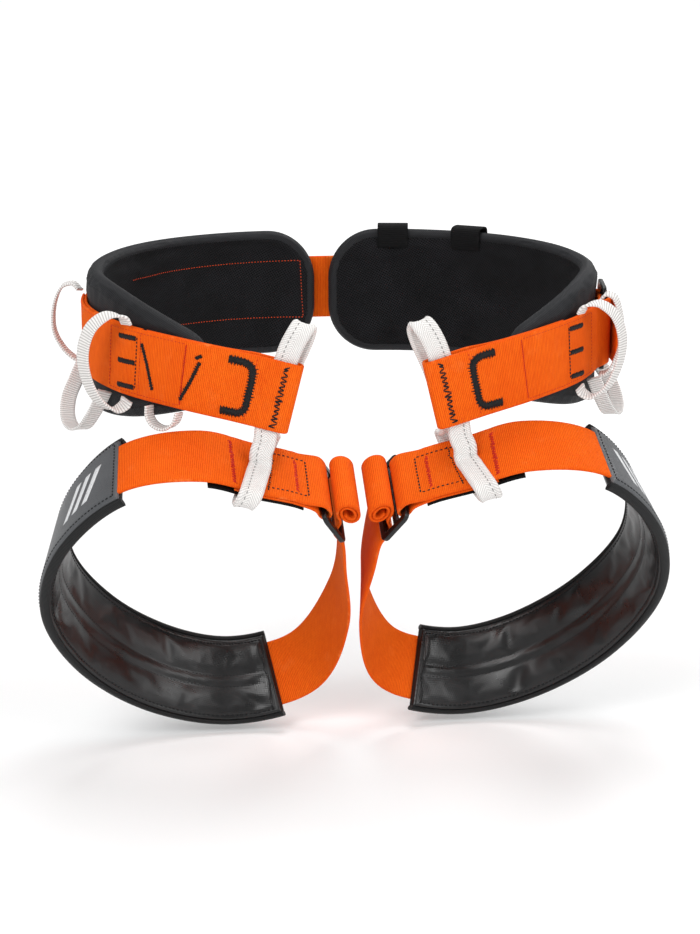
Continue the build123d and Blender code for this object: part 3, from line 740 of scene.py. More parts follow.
def subdivided(piece):
    modifier = piece.modifiers.new("Subdivision", "SUBSURF")
    modifier.levels = modifier.render_levels = 1
    modifier.boundary_smooth = "PRESERVE_CORNERS"
    mesh = bpy.data.meshes.new_from_object(piece.evaluated_get(bpy.context.evaluated_depsgraph_get()))
    piece.modifiers.clear()
    old = piece.data
    piece.data = mesh
    bpy.data.meshes.remove(old)
    mesh.name = piece.name
    return piece


# ---------------------------------------------------------------- padded pieces
def outline_distance(s, w, outline):
    """Distance from each (s, w) to a closed polyline."""
    a = outline
    b = np.roll(outline, -1, 0)
    edge = b - a
    size = np.maximum((edge ** 2).sum(1), 1e-9)
    points = np.column_stack([s.ravel(), w.ravel()])
    share = np.clip(((points[:, None] - a[None]) * edge[None]).sum(2) / size[None], 0, 1)
    gap = points[:, None] - (a[None] + share[..., None] * edge[None])
    return np.sqrt((gap ** 2).sum(2)).min(1).reshape(s.shape)


def pad_body(band, run, low, high, inner, outer, insets, columns, round_over, inner_relief, outer_relief,
             edge_share=0.42):
    """A closed pad: two faces that come together at a rounded edge. Returns its shape and, for each vertex,
    its s, w, distance from the edge and whether it is on the inner face."""
    run = np.asarray(run, float)
    bottom, top = np.array([low(s) for s in run]), np.array([high(s) for s in run])
    inset = np.array(insets, float)
    height = (top - bottom)[:, None]
    inset = np.minimum(inset[None, :], height * 0.36 * (inset / inset[-1])[None, :])
    middle = np.linspace(0, 1, columns + 2)[None, 1:-1]
    span = height - 2 * inset[:, -1:]
    w = np.hstack([inset, inset[:, -1:] + middle * span, height - inset[:, ::-1]]) + bottom[:, None]
    s = np.broadcast_to(run[:, None], w.shape).copy()
    rows_, cols = w.shape
    border = [(0, j) for j in range(cols)] + [(i, cols - 1) for i in range(1, rows_)]
    border += [(rows_ - 1, j) for j in range(cols - 2, -1, -1)] + [(i, 0) for i in range(rows_ - 2, 0, -1)]
    bi, bj = np.array(border).T
    outline = np.column_stack([s[bi, bj], w[bi, bj]])
    d = outline_distance(s, w, outline)
    d[bi, bj] = 0
    swell = edge_share + (1 - edge_share) * np.sqrt(1 - (1 - np.minimum(d / round_over, 1)) ** 2)
    centre, half = (inner + outer) / 2, (outer - inner) / 2
    inside = centre - half * swell - inner_relief(s, w, d)
    outside = centre + half * swell + outer_relief(s, w, d)
    shape = Shape()
    uv = np.stack([s, w], axis=-1) * MM
    cell = lambda grid: (grid[:-1, :-1] + grid[1:, 1:] + grid[:-1, 1:] + grid[1:, :-1]).ravel() / 4
    first = shape.sheet(band.place(s, w, inside)[:, ::-1], uv[:, ::-1])
    second = shape.sheet(band.place(s, w, outside), uv)
    shape.kinds[-2] = cell(d[:, ::-1])
    shape.kinds[-1] = cell(d)
    normal = np.roll(outline, -1, 0) - np.roll(outline, 1, 0)
    normal = unit(np.column_stack([-normal[:, 1], normal[:, 0]]))
    bulge = outline + 0.55 * half * edge_share * normal * (1 if run[-1] > run[0] else -1)
    between = shape.add(band.place(bulge[:, 0], bulge[:, 1], centre))
    ring_in = first + bi * cols + (cols - 1 - bj)
    ring_out = second + bi * cols + bj
    ring_mid = between + np.arange(len(border))
    around = np.append(lengths(np.column_stack([outline, 0 * outline[:, 0]])), 0)[:len(border)] * MM
    here, ahead = around, np.append(around[1:], around[-1] + 0.002)
    for a, b, va, vb in ((ring_in, ring_mid, -0.003, 0.0), (ring_mid, ring_out, 0.0, 0.003)):
        uv = np.stack([np.column_stack([u, np.full_like(u, v)])
                       for u, v in ((here, va), (ahead, va), (ahead, vb), (here, vb))], axis=1)
        shape.quads(np.column_stack([a, np.roll(a, -1), np.roll(b, -1), b]), uv, -1)
    facts = {"s": np.concatenate([s[:, ::-1].ravel(), s.ravel(), bulge[:, 0]]),
             "w": np.concatenate([w[:, ::-1].ravel(), w.ravel(), bulge[:, 1]]),
             "d": np.concatenate([d[:, ::-1].ravel(), d.ravel(), 0 * bulge[:, 0]]),
             "inside": np.concatenate([np.ones(w.size), np.zeros(w.size + len(bulge))]) > 0.5}
    return shape, facts, outline


def bell(x, width):
    return np.exp(-(x / width) ** 2)


def belt_edge(sign):
    middle, half = (PAD_TOP + PAD_BOTTOM) / 2, (PAD_TOP - PAD_BOTTOM) / 2

    def edge(s):
        grown = min(max((s - PAD_FRONT) / PAD_TAPER, 0.0), 1.0)
        height = half * (PAD_TIP_SHARE + (1 - PAD_TIP_SHARE) * sin(grown * pi / 2))
        left = HALF_BELT - PAD_BACK_GAP - s
        if left < PAD_CORNER:
            height = half - PAD_CORNER + (PAD_CORNER ** 2 - (PAD_CORNER - max(left, 0.0)) ** 2) ** 0.5
        ahead = s - PAD_FRONT
        if ahead < TIP_CORNER:
            height -= TIP_CORNER - (TIP_CORNER ** 2 - (TIP_CORNER - max(ahead, 0.0)) ** 2) ** 0.5
        return sign * height + middle * grown

    return edge


TIP_CORNER = 14.0
WAIST_SEAM = 4.6
PLEATS = [(88, 3.2, 0.5), (101, 3.6, 0.8), (117, 4.2, 1.0), (133, 3.6, 1.1), (147, 4.0, 1.0), (163, 4.6, 1.1),
          (180, 4.0, 0.9), (197, 5.0, 0.8), (216, 5.0, 0.6), (238, 6.0, 0.4)]
SLITS = [(53.0, 29.0), (112.0, 27.0), (53.0, -33.0), (112.0, -33.0)]


def waist_pad(side):
    rear = HALF_BELT - PAD_BACK_GAP
    run = [PAD_FRONT + TIP_CORNER * (1 - cos(a)) for a in np.linspace(0.12, pi / 2, 8)]
    run = [PAD_FRONT] + run + list(np.linspace(run[-1], rear - PAD_CORNER, 104)[1:])
    run += [rear - PAD_CORNER * (1 - sin(a)) for a in np.linspace(0, pi / 2, 16)[1:]]

    def inner_relief(s, w, d):
        depth = -1.1 * bell(d - WAIST_SEAM, 1.1) - 0.25 * bell(d - WAIST_SEAM - 2.4, 0.8)
        for at, width, deep in PLEATS:
            lean = at + 0.05 * w + 1.5 * np.sin(w / 13 + at)
            free = np.clip((d - 9) / 12, 0, 1) * (0.75 + 0.25 * np.sin(w / 9 + at))
            depth -= deep * bell(s - lean, width) * free
        if side == LEFT:
            for place, at in SLITS:
                wide, x = (9.0 if at > 0 else 6.5), s - (HALF_BELT - place)
                depth -= 2.6 * bell(x, wide) * bell(w - at - 0.02 * x ** 2, 1.9)
                depth += 0.9 * bell(x, wide + 3) * bell(w - at - 6, 4.0)
        return depth

    def outer_relief(s, w, d):
        under_strap = np.clip((26 - np.abs(w)) / 3, 0, 1)
        return -0.4 * bell(d - 6, 1.2) + 0.9 * (1 - under_strap) * np.clip(d / 9, 0, 1)

    insets = [0, 0.5, 1.3, 2.4, 3.4, 4.1, 4.6, 5.1, 6.0, 7.6, 10.0]
    shape, facts, outline = pad_body(BELT, run, belt_edge(-1), belt_edge(1), PAD_INNER + 0.6,
                                     PAD_OUTER - 0.2, insets, 24, 6.5, inner_relief, outer_relief)
    shape.kinds[0] = (shape.kinds[0] < WAIST_SEAM).astype(int)
    shape.kinds[1] = np.ones(len(shape.kinds[1]), int)
    shape.kinds[2:] = [np.ones(len(k), int) for k in shape.kinds[2:]]
    name = SIDE_NAMES[side] + "_waist_pad"
    piece = shape.make(name, [PAD_MESH, PAD_TWILL], side)
    d, inside = facts["d"], facts["inside"]
    pins = np.where(d < 1.0, 1.0, 0.0)
    pins[inside & (np.abs(d - WAIST_SEAM) < 0.9)] = 1.0
    pins[~inside & (np.abs(facts["w"]) < 25)] = 1.0
    if side == LEFT:
        for place, at in SLITS:
            near = (np.abs(facts["s"] - HALF_BELT + place) < 11) & (np.abs(facts["w"] - at) < 3.5)
            pins[inside & near] = 1.0
    simulate(piece, pins, 3.0, 1.6 * MM, shrink=-0.015)
    subdivided(piece)
    finished(piece, "waist_belt",
             [f"{name}_{part}" for part in ("cover", "foam", "liner", "binding")])
    return piece, outline


def inset_outline(outline, by):
    """The outline moved inwards, evenly spaced."""
    ahead = np.roll(outline, -1, 0) - np.roll(outline, 1, 0)
    normal = unit(np.column_stack([ahead[:, 1], -ahead[:, 0]]))
    moved = outline - by * normal * OUTLINE_TURN
    keep = outline_distance(moved[:, 0], moved[:, 1], outline) > by - 0.25
    moved = moved[keep]
    return spaced(np.vstack([moved, moved[:1]]), 2.0)


OUTLINE_TURN = -1
waist_pads = {side: waist_pad(side) for side in (LEFT, RIGHT)}

CHANNELS = (-3.0, 5.5)
LEG_STITCH = 3.4


def creases(seed):
    """Short tear-shaped folds that run off the seams of the slick skin."""
    dice = np.random.default_rng(seed)
    folds = []
    for lane_low, lane_high, count in ((-24, -4, 6), (7, 24, 6), (-2, 5, 2)):
        for at in np.linspace(LEG_PAD_START + 12, LEG_PAD_END - 12, count) + dice.uniform(-9, 9, count):
            edge = dice.random() < 0.6
            if edge:
                w = lane_low + 6 if lane_low < -10 else lane_high - 5
            else:
                w = dice.uniform(lane_low, lane_high)
            long, wide = dice.uniform(8, 15), dice.uniform(3.4, 5.6)
            turn = radians(dice.uniform(35, 75)) * dice.choice([-1, 1])
            high = dice.uniform(0.6, 1.3) * dice.choice([-1, 1], p=[0.35, 0.65])
            folds.append((at, w, long, wide, turn, high))

    def relief(s, w):
        total = np.zeros_like(s)
        for at, across, long, wide, turn, high in folds:
            x = (s - at) * cos(turn) + (w - across) * sin(turn)
            y = (w - across) * cos(turn) - (s - at) * sin(turn)
            taper = wide * (1.25 + 0.75 * np.tanh(x / long))
            total += high * np.exp(-(x / long) ** 2 - (y / taper) ** 2)
        return total

    return relief


def leg_pad(side):
    run = [LEG_PAD_START + x for x in (0, 0.6, 1.6, 2.8, 4.0, 5.4)]
    run += list(np.linspace(LEG_PAD_START + 7.5, LEG_PAD_END - 7.5, 150))
    run += [LEG_PAD_END - x for x in (5.4, 4.0, 2.8, 1.6, 0.6, 0)]
    folds = creases(11 if side == RIGHT else 23)

    def inner_relief(s, w, d):
        seams = np.minimum.reduce([np.abs(w - c) for c in CHANNELS] + [np.abs(d - LEG_STITCH)])
        free = np.clip((seams - 0.6) / 4.0, 0, 1) * (d > LEG_STITCH)
        depth = folds(s, w) * free + 0.5 * np.clip(seams / 6, 0, 1) * (d > LEG_STITCH)
        depth -= 0.55 * bell(d - LEG_STITCH, 0.9)
        for channel in CHANNELS:
            line = bell(w - channel - 0.5 * np.sin(s / 31 + channel), 0.8)
            depth -= 0.55 * line * np.clip((d - 4) / 4, 0, 1)
        return depth

    def outer_relief(s, w, d):
        return -0.35 * bell(d - LEG_STITCH, 0.8) + 0.15 * np.sin(s / 23) * np.clip(d / 12, 0, 1)

    insets = [0, 0.5, 1.3, 2.4, 3.4, 4.2, 5.4]
    shape, facts, _ = pad_body(LEG, run, lambda s: -LEG_PAD_HALF, lambda s: LEG_PAD_HALF,
                               LEG_PAD_INNER + 0.8, LEG_PAD_OUTER, insets, 22, 5.0, inner_relief,
                               outer_relief)
    shape.kinds[0] = np.zeros(len(shape.kinds[0]), int)
    shape.kinds[1] = np.ones(len(shape.kinds[1]), int)
    shape.kinds[2:] = [np.full(len(k), 2) for k in shape.kinds[2:]]
    name = SIDE_NAMES[side]
    piece = shape.make(name + "_leg_pad", [LEG_VINYL, LEG_GREY, PIPING], side)
    d, inside = facts["d"], facts["inside"]
    pins = np.where(d < 0.8, 1.0, 0.0)
    pins[np.abs(d - LEG_STITCH) < 0.7] = 1.0
    for channel in CHANNELS:
        pins[inside & (np.abs(facts["w"] - channel) < 0.9)] = 1.0
    pins[~inside] = 1.0
    simulate(piece, pins, 1.2, 0.35 * MM, shrink=-0.001)
    subdivided(piece)
    finished(piece, name + "_leg",
             [f"{name}_leg_pad_{part}" for part in ("outer_skin", "foam", "inner_skin", "piping")])
    return piece


leg_pads = {side: leg_pad(side) for side in (LEFT, RIGHT)}


# ---------------------------------------------------------------- webbing
def half_turn(s, n_from, n_to):
    middle, radius = (n_from + n_to) / 2, (n_from - n_to) / 2
    return [(s - abs(radius) * sin(pi * k / 6), middle + radius * cos(pi * k / 6)) for k in range(7)]


def tunnel_and_return():
    back = [(s, TUNNEL_LAYER) for s in (12, 22, 30)] + [(TUNNEL_SEAM, -1.5), (TUNNEL_SEAM + 8, 0.4)]
    return half_turn(4.0, OUTER_LAYER, TUNNEL_LAYER) + back + level(TUNNEL_SEAM + 16, RETURN_END, REAR_LAYER)


def sewn_relief(marks):
    """Ridges and dimples where seams draw the webbing in: (s, height, width)."""
    def relief(tag, w):
        total = 0 * tag + 0 * w
        for at, high, width in marks:
            total = total + high * bell(tag - at - 0.4 * np.sin(w / 9 + at), width)
        return total
    return relief


STRAP = flat_profile(WEB_WIDTH, WEB_THICK, 14)
FRONT_RELIEF = sewn_relief([(9.5, -0.22, 2.2), (14.5, 0.30, 0.7), (17.2, 0.22, 0.7), (26.5, 0.26, 0.8),
                            (29.2, 0.20, 0.7), (40, -0.18, 5), (71, -0.3, 1.1), (101, -0.22, 1.0),
                            (127, -0.2, 1.0), (195, -0.3, 1.2)])


def strap(name, route, body, nodes, side=LEFT, relief=None, step=1.6, profile=STRAP, material=ORANGE):
    shape = Shape()
    sweep(shape, resampled(np.array(route, float), step), profile, relief=relief)
    return finished(shape.make(name, material, side), body, nodes)


def belt_webbing():
    back = level(200, BELT.length - REAR_START, REAR_LAYER)
    tail = WAIST_ADJUSTER.rows([(26, 8.2), (14, 7.4), (6, 6.6)])
    strap("waist_rear_webbing_strap", tail + WAIST_ADJUSTER.threaded()[::-1] + rows(BELT, back), "waist_belt",
          ["waist_rear_webbing"])
    front = rows(BELT, level(142, 18, OUTER_LAYER) + tunnel_and_return())
    inner = rows(BELT, [(RETURN_END + 28, REAR_LAYER), (RETURN_END + 40, REAR_LAYER)])
    strap("left_front_strap", inner + WAIST_ADJUSTER.fixed_fold()[::-1] + front, "waist_belt",
          ["left_front_webbing"], relief=FRONT_RELIEF, step=0.8)
    front = rows(BELT, level(FRONT_END, 18, OUTER_LAYER) + tunnel_and_return())
    strap("right_front_strap", front, "waist_belt", ["right_front_webbing"], RIGHT,
          FRONT_RELIEF, 0.8)


LEG_RELIEF = sewn_relief([(15, -0.2, 2.0), (-25, -0.2, 1.6), (-32, -0.22, 1.0), (-35, -0.2, 1.0)])


def leg_webbing(side):
    name = SIDE_NAMES[side]
    outer = rows(LEG, level(LEG_SPLICE, LEG_BUCKLE + 28, 0.0))
    inner = rows(LEG, level(LEG_BUCKLE + 28, LEG_SEAM, -WEB_THICK - 0.2))
    body = name + "_leg"
    front = strap(body + "_front_strap", outer + LEG_ADJUSTER.fixed_fold() + inner, body,
                  [body + "_front_webbing"], side, LEG_RELIEF, 1.2)
    start = LEG.length + LEG_BUCKLE
    plain = rows(LEG, level(LEG_SPLICE + 4, LEG_PAD_END - 4, 0.0) + level(LEG_PAD_END + 8, start - 30, 0.0))
    roll, angle, shrunk = [], radians(-80), 0.0
    while ROLL_HALF[1] - shrunk > 2.5:
        roll.append((ROLL_AT[0] + (ROLL_HALF[0] - shrunk) * cos(angle),
                     ROLL_AT[1] + (ROLL_HALF[1] - shrunk) * sin(angle)))
        angle += radians(24)
        shrunk += ROLL_PITCH * 24 / 360
    strap(body + "_lower_strap", plain + LEG_ADJUSTER.threaded() + LEG_ADJUSTER.rows(roll), body,
          [body + "_lower_webbing"], side, step=1.2)
    s = np.linspace(-34, 32, 24)
    backing = [(*p, *a, 0.0) for p, a in zip(LEG.place(s, 9.5, -4.2), LEG.frames(s)[2])]
    strap(body + "_ring_backing_tape", backing, body, [body + "_ring_backing"], side,
          profile=flat_profile(27.5, 1.2), material=BLACK_TAPE)
    return front


belt_webbing()
leg_straps = {side: leg_webbing(side) for side in (LEFT, RIGHT)}


# ---------------------------------------------------------------- tie-in rings
def tie_in_ring(side):
    """One soft ring: over the belt's front end, through its tunnel and round the leg loop."""
    name = SIDE_NAMES[side]
    belt_way, leg_way = BELT.frames(12)[1][0], LEG.frames(RING_AT)[1][0]
    route = [tuple(BELT.place(*p)) + tuple(belt_way) for p in RING_UPPER]
    route += [RING_LOWER_REAR + tuple(leg_way)]
    route += [tuple(LEG.place(RING_AT + RING_SLANT * w, w, n)) + tuple(leg_way) for w, n in RING_LOWER]
    route += [tuple(map(float, p)) + tuple(leg_way) for p in RING_LOWER_FRONT]
    track = resampled(np.array([r + (0.0,) for r in route]), 1.3, closed=True)
    shape = Shape()
    profile = flat_profile(15.0, 3.0, 16, bead=0.75, bead_at=5.7, bead_width=1.5)
    sweep(shape, track, profile, closed=True)
    centre, across = track[:, :3], track[:, 3:6]
    along = unit(np.roll(centre, -1, 0) - np.roll(centre, 1, 0))
    way = unit(across - along * (along * across).sum(1)[:, None])
    out = np.cross(along, way)
    at = lengths(np.vstack([centre, centre[:1]]))
    for face in (1, -1):
        path = centre + 3.1 * way + face * 1.62 * out
        closed = np.vstack([path, path[:1]])
        t = np.arange(0, at[-1] - 3, 3.0)
        pick = lambda x, table: np.column_stack([np.interp(x, at, c) for c in table.T])
        up = face * pick(t, np.vstack([out, out[:1]]))
        threads(shape, pick(t, closed), pick(t + 1.9, closed), up, 0.3, kind=1)
    piece = shape.make(name + "_tie_in_ring", [RING, WHITE_THREAD], side)
    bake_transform(piece)
    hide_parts(name + "_ring_upper", name + "_ring_lower")


# ---------------------------------------------------------------- gear loops and keepers
def tape_track(line, way, step):
    """Rows for a tape along a line of places, its width the same way all along."""
    return resampled(np.hstack([line, np.tile(way, (len(line), 1)), np.zeros((len(line), 1))]), step)


def gear_loop(name, route, body, node, side):
    line = BELT.place(*np.array(route, float).T)
    hanging = abs(route[0][0] - route[-1][0]) > 20
    way = BELT.frames((route[0][0] + route[-1][0]) / 2)[3 if hanging else 1][0]
    shape = Shape()
    sweep(shape, tape_track(line, way, 0.8),
          flat_profile(10.0, 1.6, 8, bead=0.22, bead_at=3.9, bead_width=0.8))
    finished(shape.make(name, WHITE_TAPE, side), body, [node])


def keepers():
    """Black tapes over the left pad's top edge, each tucked into a slit in the mesh."""
    shape = Shape()
    top = PAD_TOP + 3.2
    outside, inside = WEB_THICK + 1.4, PAD_INNER - 1.7
    route = [(-27, outside), (0, outside), (24, outside), (34, outside - 1.4), (top - 1.6, 1.6),
             (top + 0.3, -0.4), (top + 0.3, PAD_INNER + 0.4), (top - 1.6, inside + 0.4), (35, inside + 0.8),
             (30, inside + 2.6)]
    for place in KEEPERS:
        s = HALF_BELT - place
        points = np.array([BELT.place(s, w, n) for w, n in route])
        sweep(shape, tape_track(points, BELT.frames(s)[1][0], 1.2), flat_profile(22.0, 1.2, 10))
    finished(shape.make("left_pad_keeper_tapes", BLACK_TAPE), "waist_belt",
             ["left_pad_keepers"])


keepers()
for side in (LEFT, RIGHT):
    tie_in_ring(side)
    name = SIDE_NAMES[side]
    rear = UPRIGHT_REAR_LEFT if side == LEFT else UPRIGHT_REAR
    for place, route, node in (("front", UPRIGHT_FRONT, "upright_gear_loop_front"),
                               ("rear", rear, "upright_gear_loop_rear"),
                               ("hanging", HANGING_SIDE, "hanging_gear_loop")):
        gear_loop(f"{name}_gear_loop_{place}", route, f"{name}_{place}_loop", f"{name}_{node}", side)
gear_loop("right_gear_loop_small", HANGING_SMALL, "right_small_loop", "right_small_gear_loop", RIGHT)


# ---------------------------------------------------------------- sewing
def belt_sewing(side):
    name = SIDE_NAMES[side]
    face = Cloth(BELT, OUTER_LAYER + WEB_THICK / 2)
    tacks, box = (103.0, 63.0) if side == LEFT else (106.0, 71.0)
    black = Shape()
    zigzag(black, face, [(9.6, 20.5), (9.6, -20.5)], pitch=3.2, reach=5.0, radius=0.46, jitter=0.5, gap=0.04)
    middle = TUNNEL_SEAM - 3
    bend = [np.linspace(0.5 * pi, pi, 9), np.linspace(pi, 1.5 * pi, 9)]
    hook = [(middle + 6.5 * cos(a), w + 6.5 * sin(a)) for w, turn in zip((10, -10), bend) for a in turn]
    hook = [(middle + 9, 16.5)] + hook + [(middle + 9, -16.5)]
    satin(black, face, hook, 4.8, ragged=1.5, tooth=1.9)
    for i, w in enumerate((16, 0, -16)):
        satin(black, face, [(tacks, w), (tacks + 13, w - 0.8)], 3.3, seed=31 + i, ragged=0.6)
    running(black, face, [(tacks - 1.2, 17), (tacks - 1.2, -17)], 2.4, 0.85, 0.4)
    if side == RIGHT:
        satin(black, face, [(101, 13.5), (97, 3), (91.5, -14)], 2.2, seed=41, ragged=0.8, radius=0.3)
        satin(black, face, [(61.5, 10), (66, -4), (71, -16)], 2.3, seed=42, ragged=0.9, radius=0.3)
        satin(black, face, [(61, 14.6), (64, 12.4)], 2.4, seed=43, ragged=0.4, radius=0.3)
    finished(black.make(name + "_belt_black_sewing", BLACK_THREAD, side), "waist_belt",
             [name + "_bar_tacks"])
    red = Shape()
    zigzag(red, face, [(box, 19.5), (box, -19.5)], pitch=1.6, reach=1.3, radius=0.3, jitter=0.1)
    running(red, face, [(102, 19.5), (102, -19.5)], 2.2, 0.78, 0.22)
    last = 130 if side == LEFT else 127.5
    for w in (20.0, -20.0):
        running(red, face, [(box + 1, w), (102, w + 0.2), (last, w)], 2.4, 0.76, 0.22)
    running(red, face, [(last, 20), (last, -20)], 2.4, 0.76, 0.24)
    if side == RIGHT:
        running(red, face, [(195, 20.5), (195, -20.5)], 2.2, 0.8, 0.26)
        running(red, Cloth(BELT, OUTER_LAYER + 1), [(130, 20.6), (193, 20.6)], 2.6, 0.7, 0.2)
    for s in (14.8, 27.8):
        running(red, face, [(s, 20.5), (s, -20.5)], 2.6, 0.8, 0.2)
    back = Cloth(BELT, REAR_LAYER - WEB_THICK / 2, inward=True)
    tunnel = Cloth(BELT, TUNNEL_LAYER - WEB_THICK / 2, inward=True)
    zigzag(red, tunnel, [(9.6, 20), (9.6, -20)], pitch=3.3, reach=3.0, radius=0.3)
    running(red, back, [(56, 20), (56, -20)], 2.4, 0.76, 0.24)
    finished(red.make(name + "_belt_red_sewing", RED_THREAD, side), "waist_belt",
             [name + "_red_seams"])


def pad_sewing(side):
    """The seam round the pad's mesh, and the fine orange box that holds the webbing behind the right pad."""
    name = SIDE_NAMES[side]
    piece, outline = waist_pads[side]
    inside = Cloth(BELT, PAD_INNER, piece, side, inward=True)
    outside = Cloth(BELT, PAD_OUTER, piece, side)
    seam = Shape()
    for cloth, by, pitch in ((inside, WAIST_SEAM, 2.6), (outside, 6.0, 2.8)):
        running(seam, cloth, inset_outline(outline, by), pitch, 0.78, 0.26)
    finished(seam.make(name + "_pad_seam", BLACK_THREAD, side), "waist_belt")
    if side == RIGHT:
        box = Shape()
        front, rear = HALF_BELT - 168, HALF_BELT - 15
        corners = [(front, 19.5), (rear - 1, 21.5), (rear + 1, -20), (front, -19.0)]
        running(box, inside, corners, 2.3, 0.62, 0.3, jitter=0.05)
        finished(box.make("right_pad_box_stitch", ORANGE_THREAD, side), "waist_belt")


def leg_sewing(side):
    name = SIDE_NAMES[side]
    outer = Cloth(LEG, WEB_THICK / 2, leg_straps[side], side)
    inner = Cloth(LEG, -1.5 * WEB_THICK - 0.2, leg_straps[side], side, inward=True)
    black, red = Shape(), Shape()
    for cloth in (outer, inner):
        for w in (15.5, -15.5):
            running(black, cloth, [(-4, w), (-35, w)], 3.1, 0.7, 0.42)
        running(black, cloth, [(-35, 15.5), (-35, -15.5)], 2.9, 0.84, 0.52)
        zigzag(red, cloth, [(15, 19.5), (16, -17.5)], pitch=2.1, reach=4.2, radius=0.36, jitter=0.25)
        zigzag(red, cloth, [(-28, 14), (-28, -14)], pitch=2.0, reach=3.4, radius=0.36, jitter=0.3)
    running(black, outer, [(-8, 18), (-14, -18)], 2.2, 0.8, 0.46, jitter=0.5)
    finished(black.make(name + "_leg_black_sewing", BLACK_THREAD, side), name + "_leg")
    finished(red.make(name + "_leg_red_sewing", RED_THREAD, side), name + "_leg")

    piece = leg_pads[side]
    inside = Cloth(LEG, LEG_PAD_INNER, piece, side, inward=True)
    outside = Cloth(LEG, LEG_PAD_OUTER, piece, side)
    seam = Shape()
    reach = LEG_PAD_HALF - LEG_STITCH
    for cloth in (inside, outside):
        for w in (reach, -reach):
            running(seam, cloth, [(LEG_PAD_START + 3, w), (LEG_PAD_END - 3, w)], 2.9, 0.78, 0.46, jitter=0.1)
        running(seam, cloth, [(LEG_PAD_START + 3, reach), (LEG_PAD_START + 3, -reach)], 2.9, 0.8, 0.46)
        wave = [(LEG_PAD_END - 4.5 + 1.1 * sin(w / 4.1), w) for w in np.linspace(reach, -reach, 30)]
        zigzag(seam, cloth, wave, pitch=2.4, reach=1.4, radius=0.34, jitter=0.25)
    for channel in CHANNELS:
        line = [(s, channel + 0.5 * sin(s / 31 + channel))
                for s in np.linspace(LEG_PAD_START + 6, LEG_PAD_END - 6, 90)]
        running(seam, inside, line, 2.6, 0.8, 0.24)
    finished(seam.make(name + "_leg_pad_sewing", BLACK_THREAD, side), name + "_leg")


def leg_mark(side):
    """A plain printed mark of three slanting bars on the outer face of the leg pad."""
    name = SIDE_NAMES[side]
    piece = leg_pads[side]
    cloth = Cloth(LEG, LEG_PAD_OUTER, piece, side)
    shape = Shape()
    for i in range(3):
        along = np.linspace(0, 1, 12)
        start = 104.0 + 10.0 * i
        centre = np.column_stack([start + 11 * along, -13 + 26 * along])
        left, right = centre - (2.6, 0), centre + (2.6, 0)
        columns = []
        for share in np.linspace(0, 1, 4):
            points, out = cloth.at(left + share * (right - left))
            columns.append((points, out))
        for lift, flip in ((0.16, 1), (0.02, -1)):
            grid = np.stack([p + lift * o for p, o in columns], axis=1)
            uv = np.stack(np.meshgrid(along * 0.026, np.linspace(0, 0.005, 4), indexing="ij"), axis=-1)
            shape.sheet(grid[:, ::flip], uv[:, ::flip])
        top, bottom = shape.count - 96, shape.count - 48
        ring = [(r, 0) for r in range(12)] + [(11, c) for c in range(1, 4)]
        ring += [(r, 3) for r in range(10, -1, -1)] + [(0, c) for c in (2, 1)]
        a = np.array([top + r * 4 + c for r, c in ring])
        b = np.array([bottom + r * 4 + 3 - c for r, c in ring])
        shape.quads(np.column_stack([a, np.roll(a, -1), np.roll(b, -1), b]), np.zeros((len(a), 4, 2)))
    finished(shape.make(name + "_leg_pad_mark", PALE_PRINT, side), name + "_leg")


def leg_piping(side):
    """Rolled edging along both edges of the leg pad."""
    name = SIDE_NAMES[side]
    shape = Shape()
    for w in (-1, 1):
        s = np.linspace(LEG_PAD_START - 1.5, LEG_PAD_END + 0.5, 220)
        place = LEG.place(s, w * (LEG_PAD_HALF + 0.7), (LEG_PAD_INNER + LEG_PAD_OUTER) / 2)
        track = np.hstack([place, LEG.frames(s)[2], np.zeros((len(s), 1))])
        angle = np.linspace(0, 2 * pi, 15)[:-1]
        profile = np.column_stack([1.8 * np.cos(angle), 3.4 * np.sin(angle)])
        sweep(shape, track, profile)
    finished(shape.make(name + "_leg_pad_edging", PIPING, side), name + "_leg")


for side in (LEFT, RIGHT):
    belt_sewing(side)
    pad_sewing(side)
    leg_sewing(side)
    leg_piping(side)
    leg_mark(side)

for node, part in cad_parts.items():
    if node.endswith(("buckle_frame", "buckle_bar")):
        part.data.materials.clear()
        part.data.materials.append(FRAME_METAL if node.endswith("frame") else BAR_METAL)
        for polygon in part.data.polygons:
            polygon.material_index = 0


# ---------------------------------------------------------------- stage, light and camera
SENSOR, LENS_PER_SENSOR = 36.0, 2200 / 934
FLOOR_HALF, FLOOR_DROP, WORLD_STRENGTH = 30.0, 0.004, 0.42
# Each light: name, place, side of its square in metres, watts.
LIGHTS = (("key", (-1.0, -1.5, 1.3), 0.9, 20), ("fill", (1.3, -1.3, 0.6), 1.0, 10),
          ("top", (0.1, 0.2, 1.7), 1.3, 18), ("rim", (0.9, 1.1, 0.9), 0.7, 7))


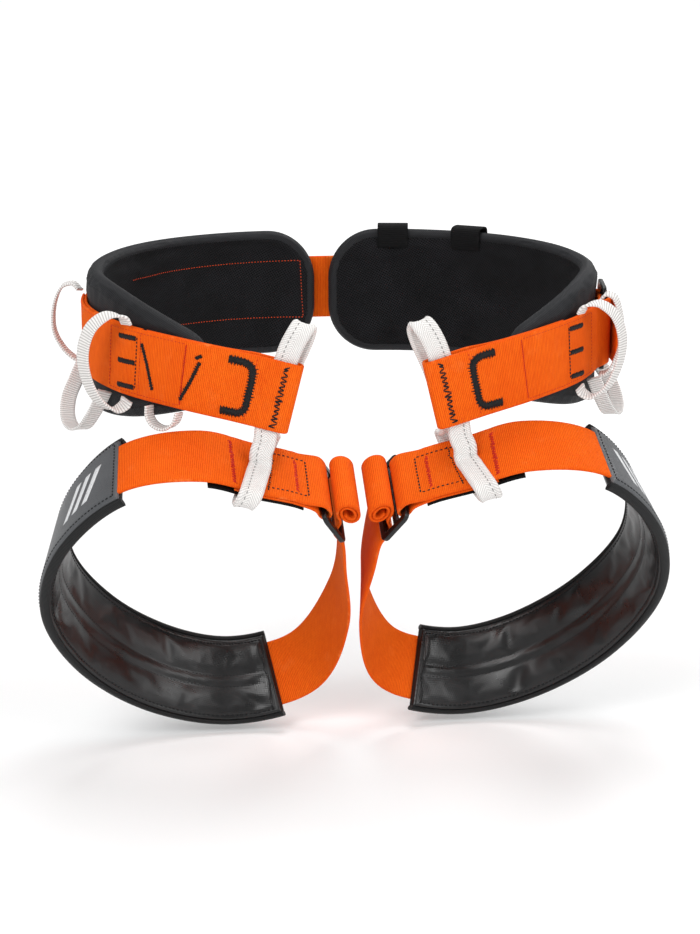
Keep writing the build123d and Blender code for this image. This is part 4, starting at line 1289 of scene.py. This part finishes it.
def studio():
    floor_at = cad_box[0][2] - FLOOR_DROP
    shape = Shape()
    reach = FLOOR_HALF
    grid = np.array([[(x, y, floor_at) for x in (reach, -reach)] for y in (-reach, reach)]) / MM
    shape.sheet(grid, np.zeros((2, 2, 2)))
    g = Graph("studio_white", Roughness=0.9, Specular_IOR_Level=0.1, Emission_Color=(1, 1, 1, 1))
    g.colour(g.mix(g.noise(1.5, 2), (0.93, 0.93, 0.93, 1), (0.95, 0.95, 0.95, 1)))
    # The floor's far part glows a little, so that it stays as pale as the lit part.
    glow = g.ramp(g.node("VectorMath", 1, {0: g.place()}, operation="LENGTH"), 0.7, 2.2, 0.0, 0.62)
    g.tree.links.new(glow, g.shader.inputs["Emission Strength"])
    backdrop = shape.make("studio_floor", g.material)

    world = bpy.data.worlds.new("studio")
    world.use_nodes = True
    world.node_tree.nodes["Background"].inputs["Color"].default_value = (1, 1, 1, 1)
    world.node_tree.nodes["Background"].inputs["Strength"].default_value = WORLD_STRENGTH
    bpy.context.scene.world = world
    aim = Vector((0, -0.02, -0.1))
    for name, place, size, power in LIGHTS:
        light = bpy.data.lights.new(name, "AREA")
        light.shape, light.size, light.energy = "SQUARE", size, power
        lamp = bpy.data.objects.new(name, light)
        lamp.location = place
        lamp.rotation_euler = (aim - Vector(place)).to_track_quat("-Z", "Y").to_euler()
        bpy.context.scene.collection.objects.link(lamp)

    azimuth, elevation, distance = radians(-7), radians(15), 1.5
    target = Vector((0.005, -0.010, -0.100))
    camera = bpy.data.objects.new("camera", bpy.data.cameras.new("camera"))
    towards = Vector((sin(azimuth) * cos(elevation), -cos(azimuth) * cos(elevation), sin(elevation)))
    camera.location = target + distance * towards
    camera.rotation_euler = (target - camera.location).to_track_quat("-Z", "Y").to_euler()
    camera.data.sensor_width, camera.data.lens = SENSOR, SENSOR * LENS_PER_SENSOR
    bpy.context.scene.collection.objects.link(camera)
    bpy.context.scene.camera = camera
    bpy.context.scene.view_settings.view_transform = "Standard"


studio()
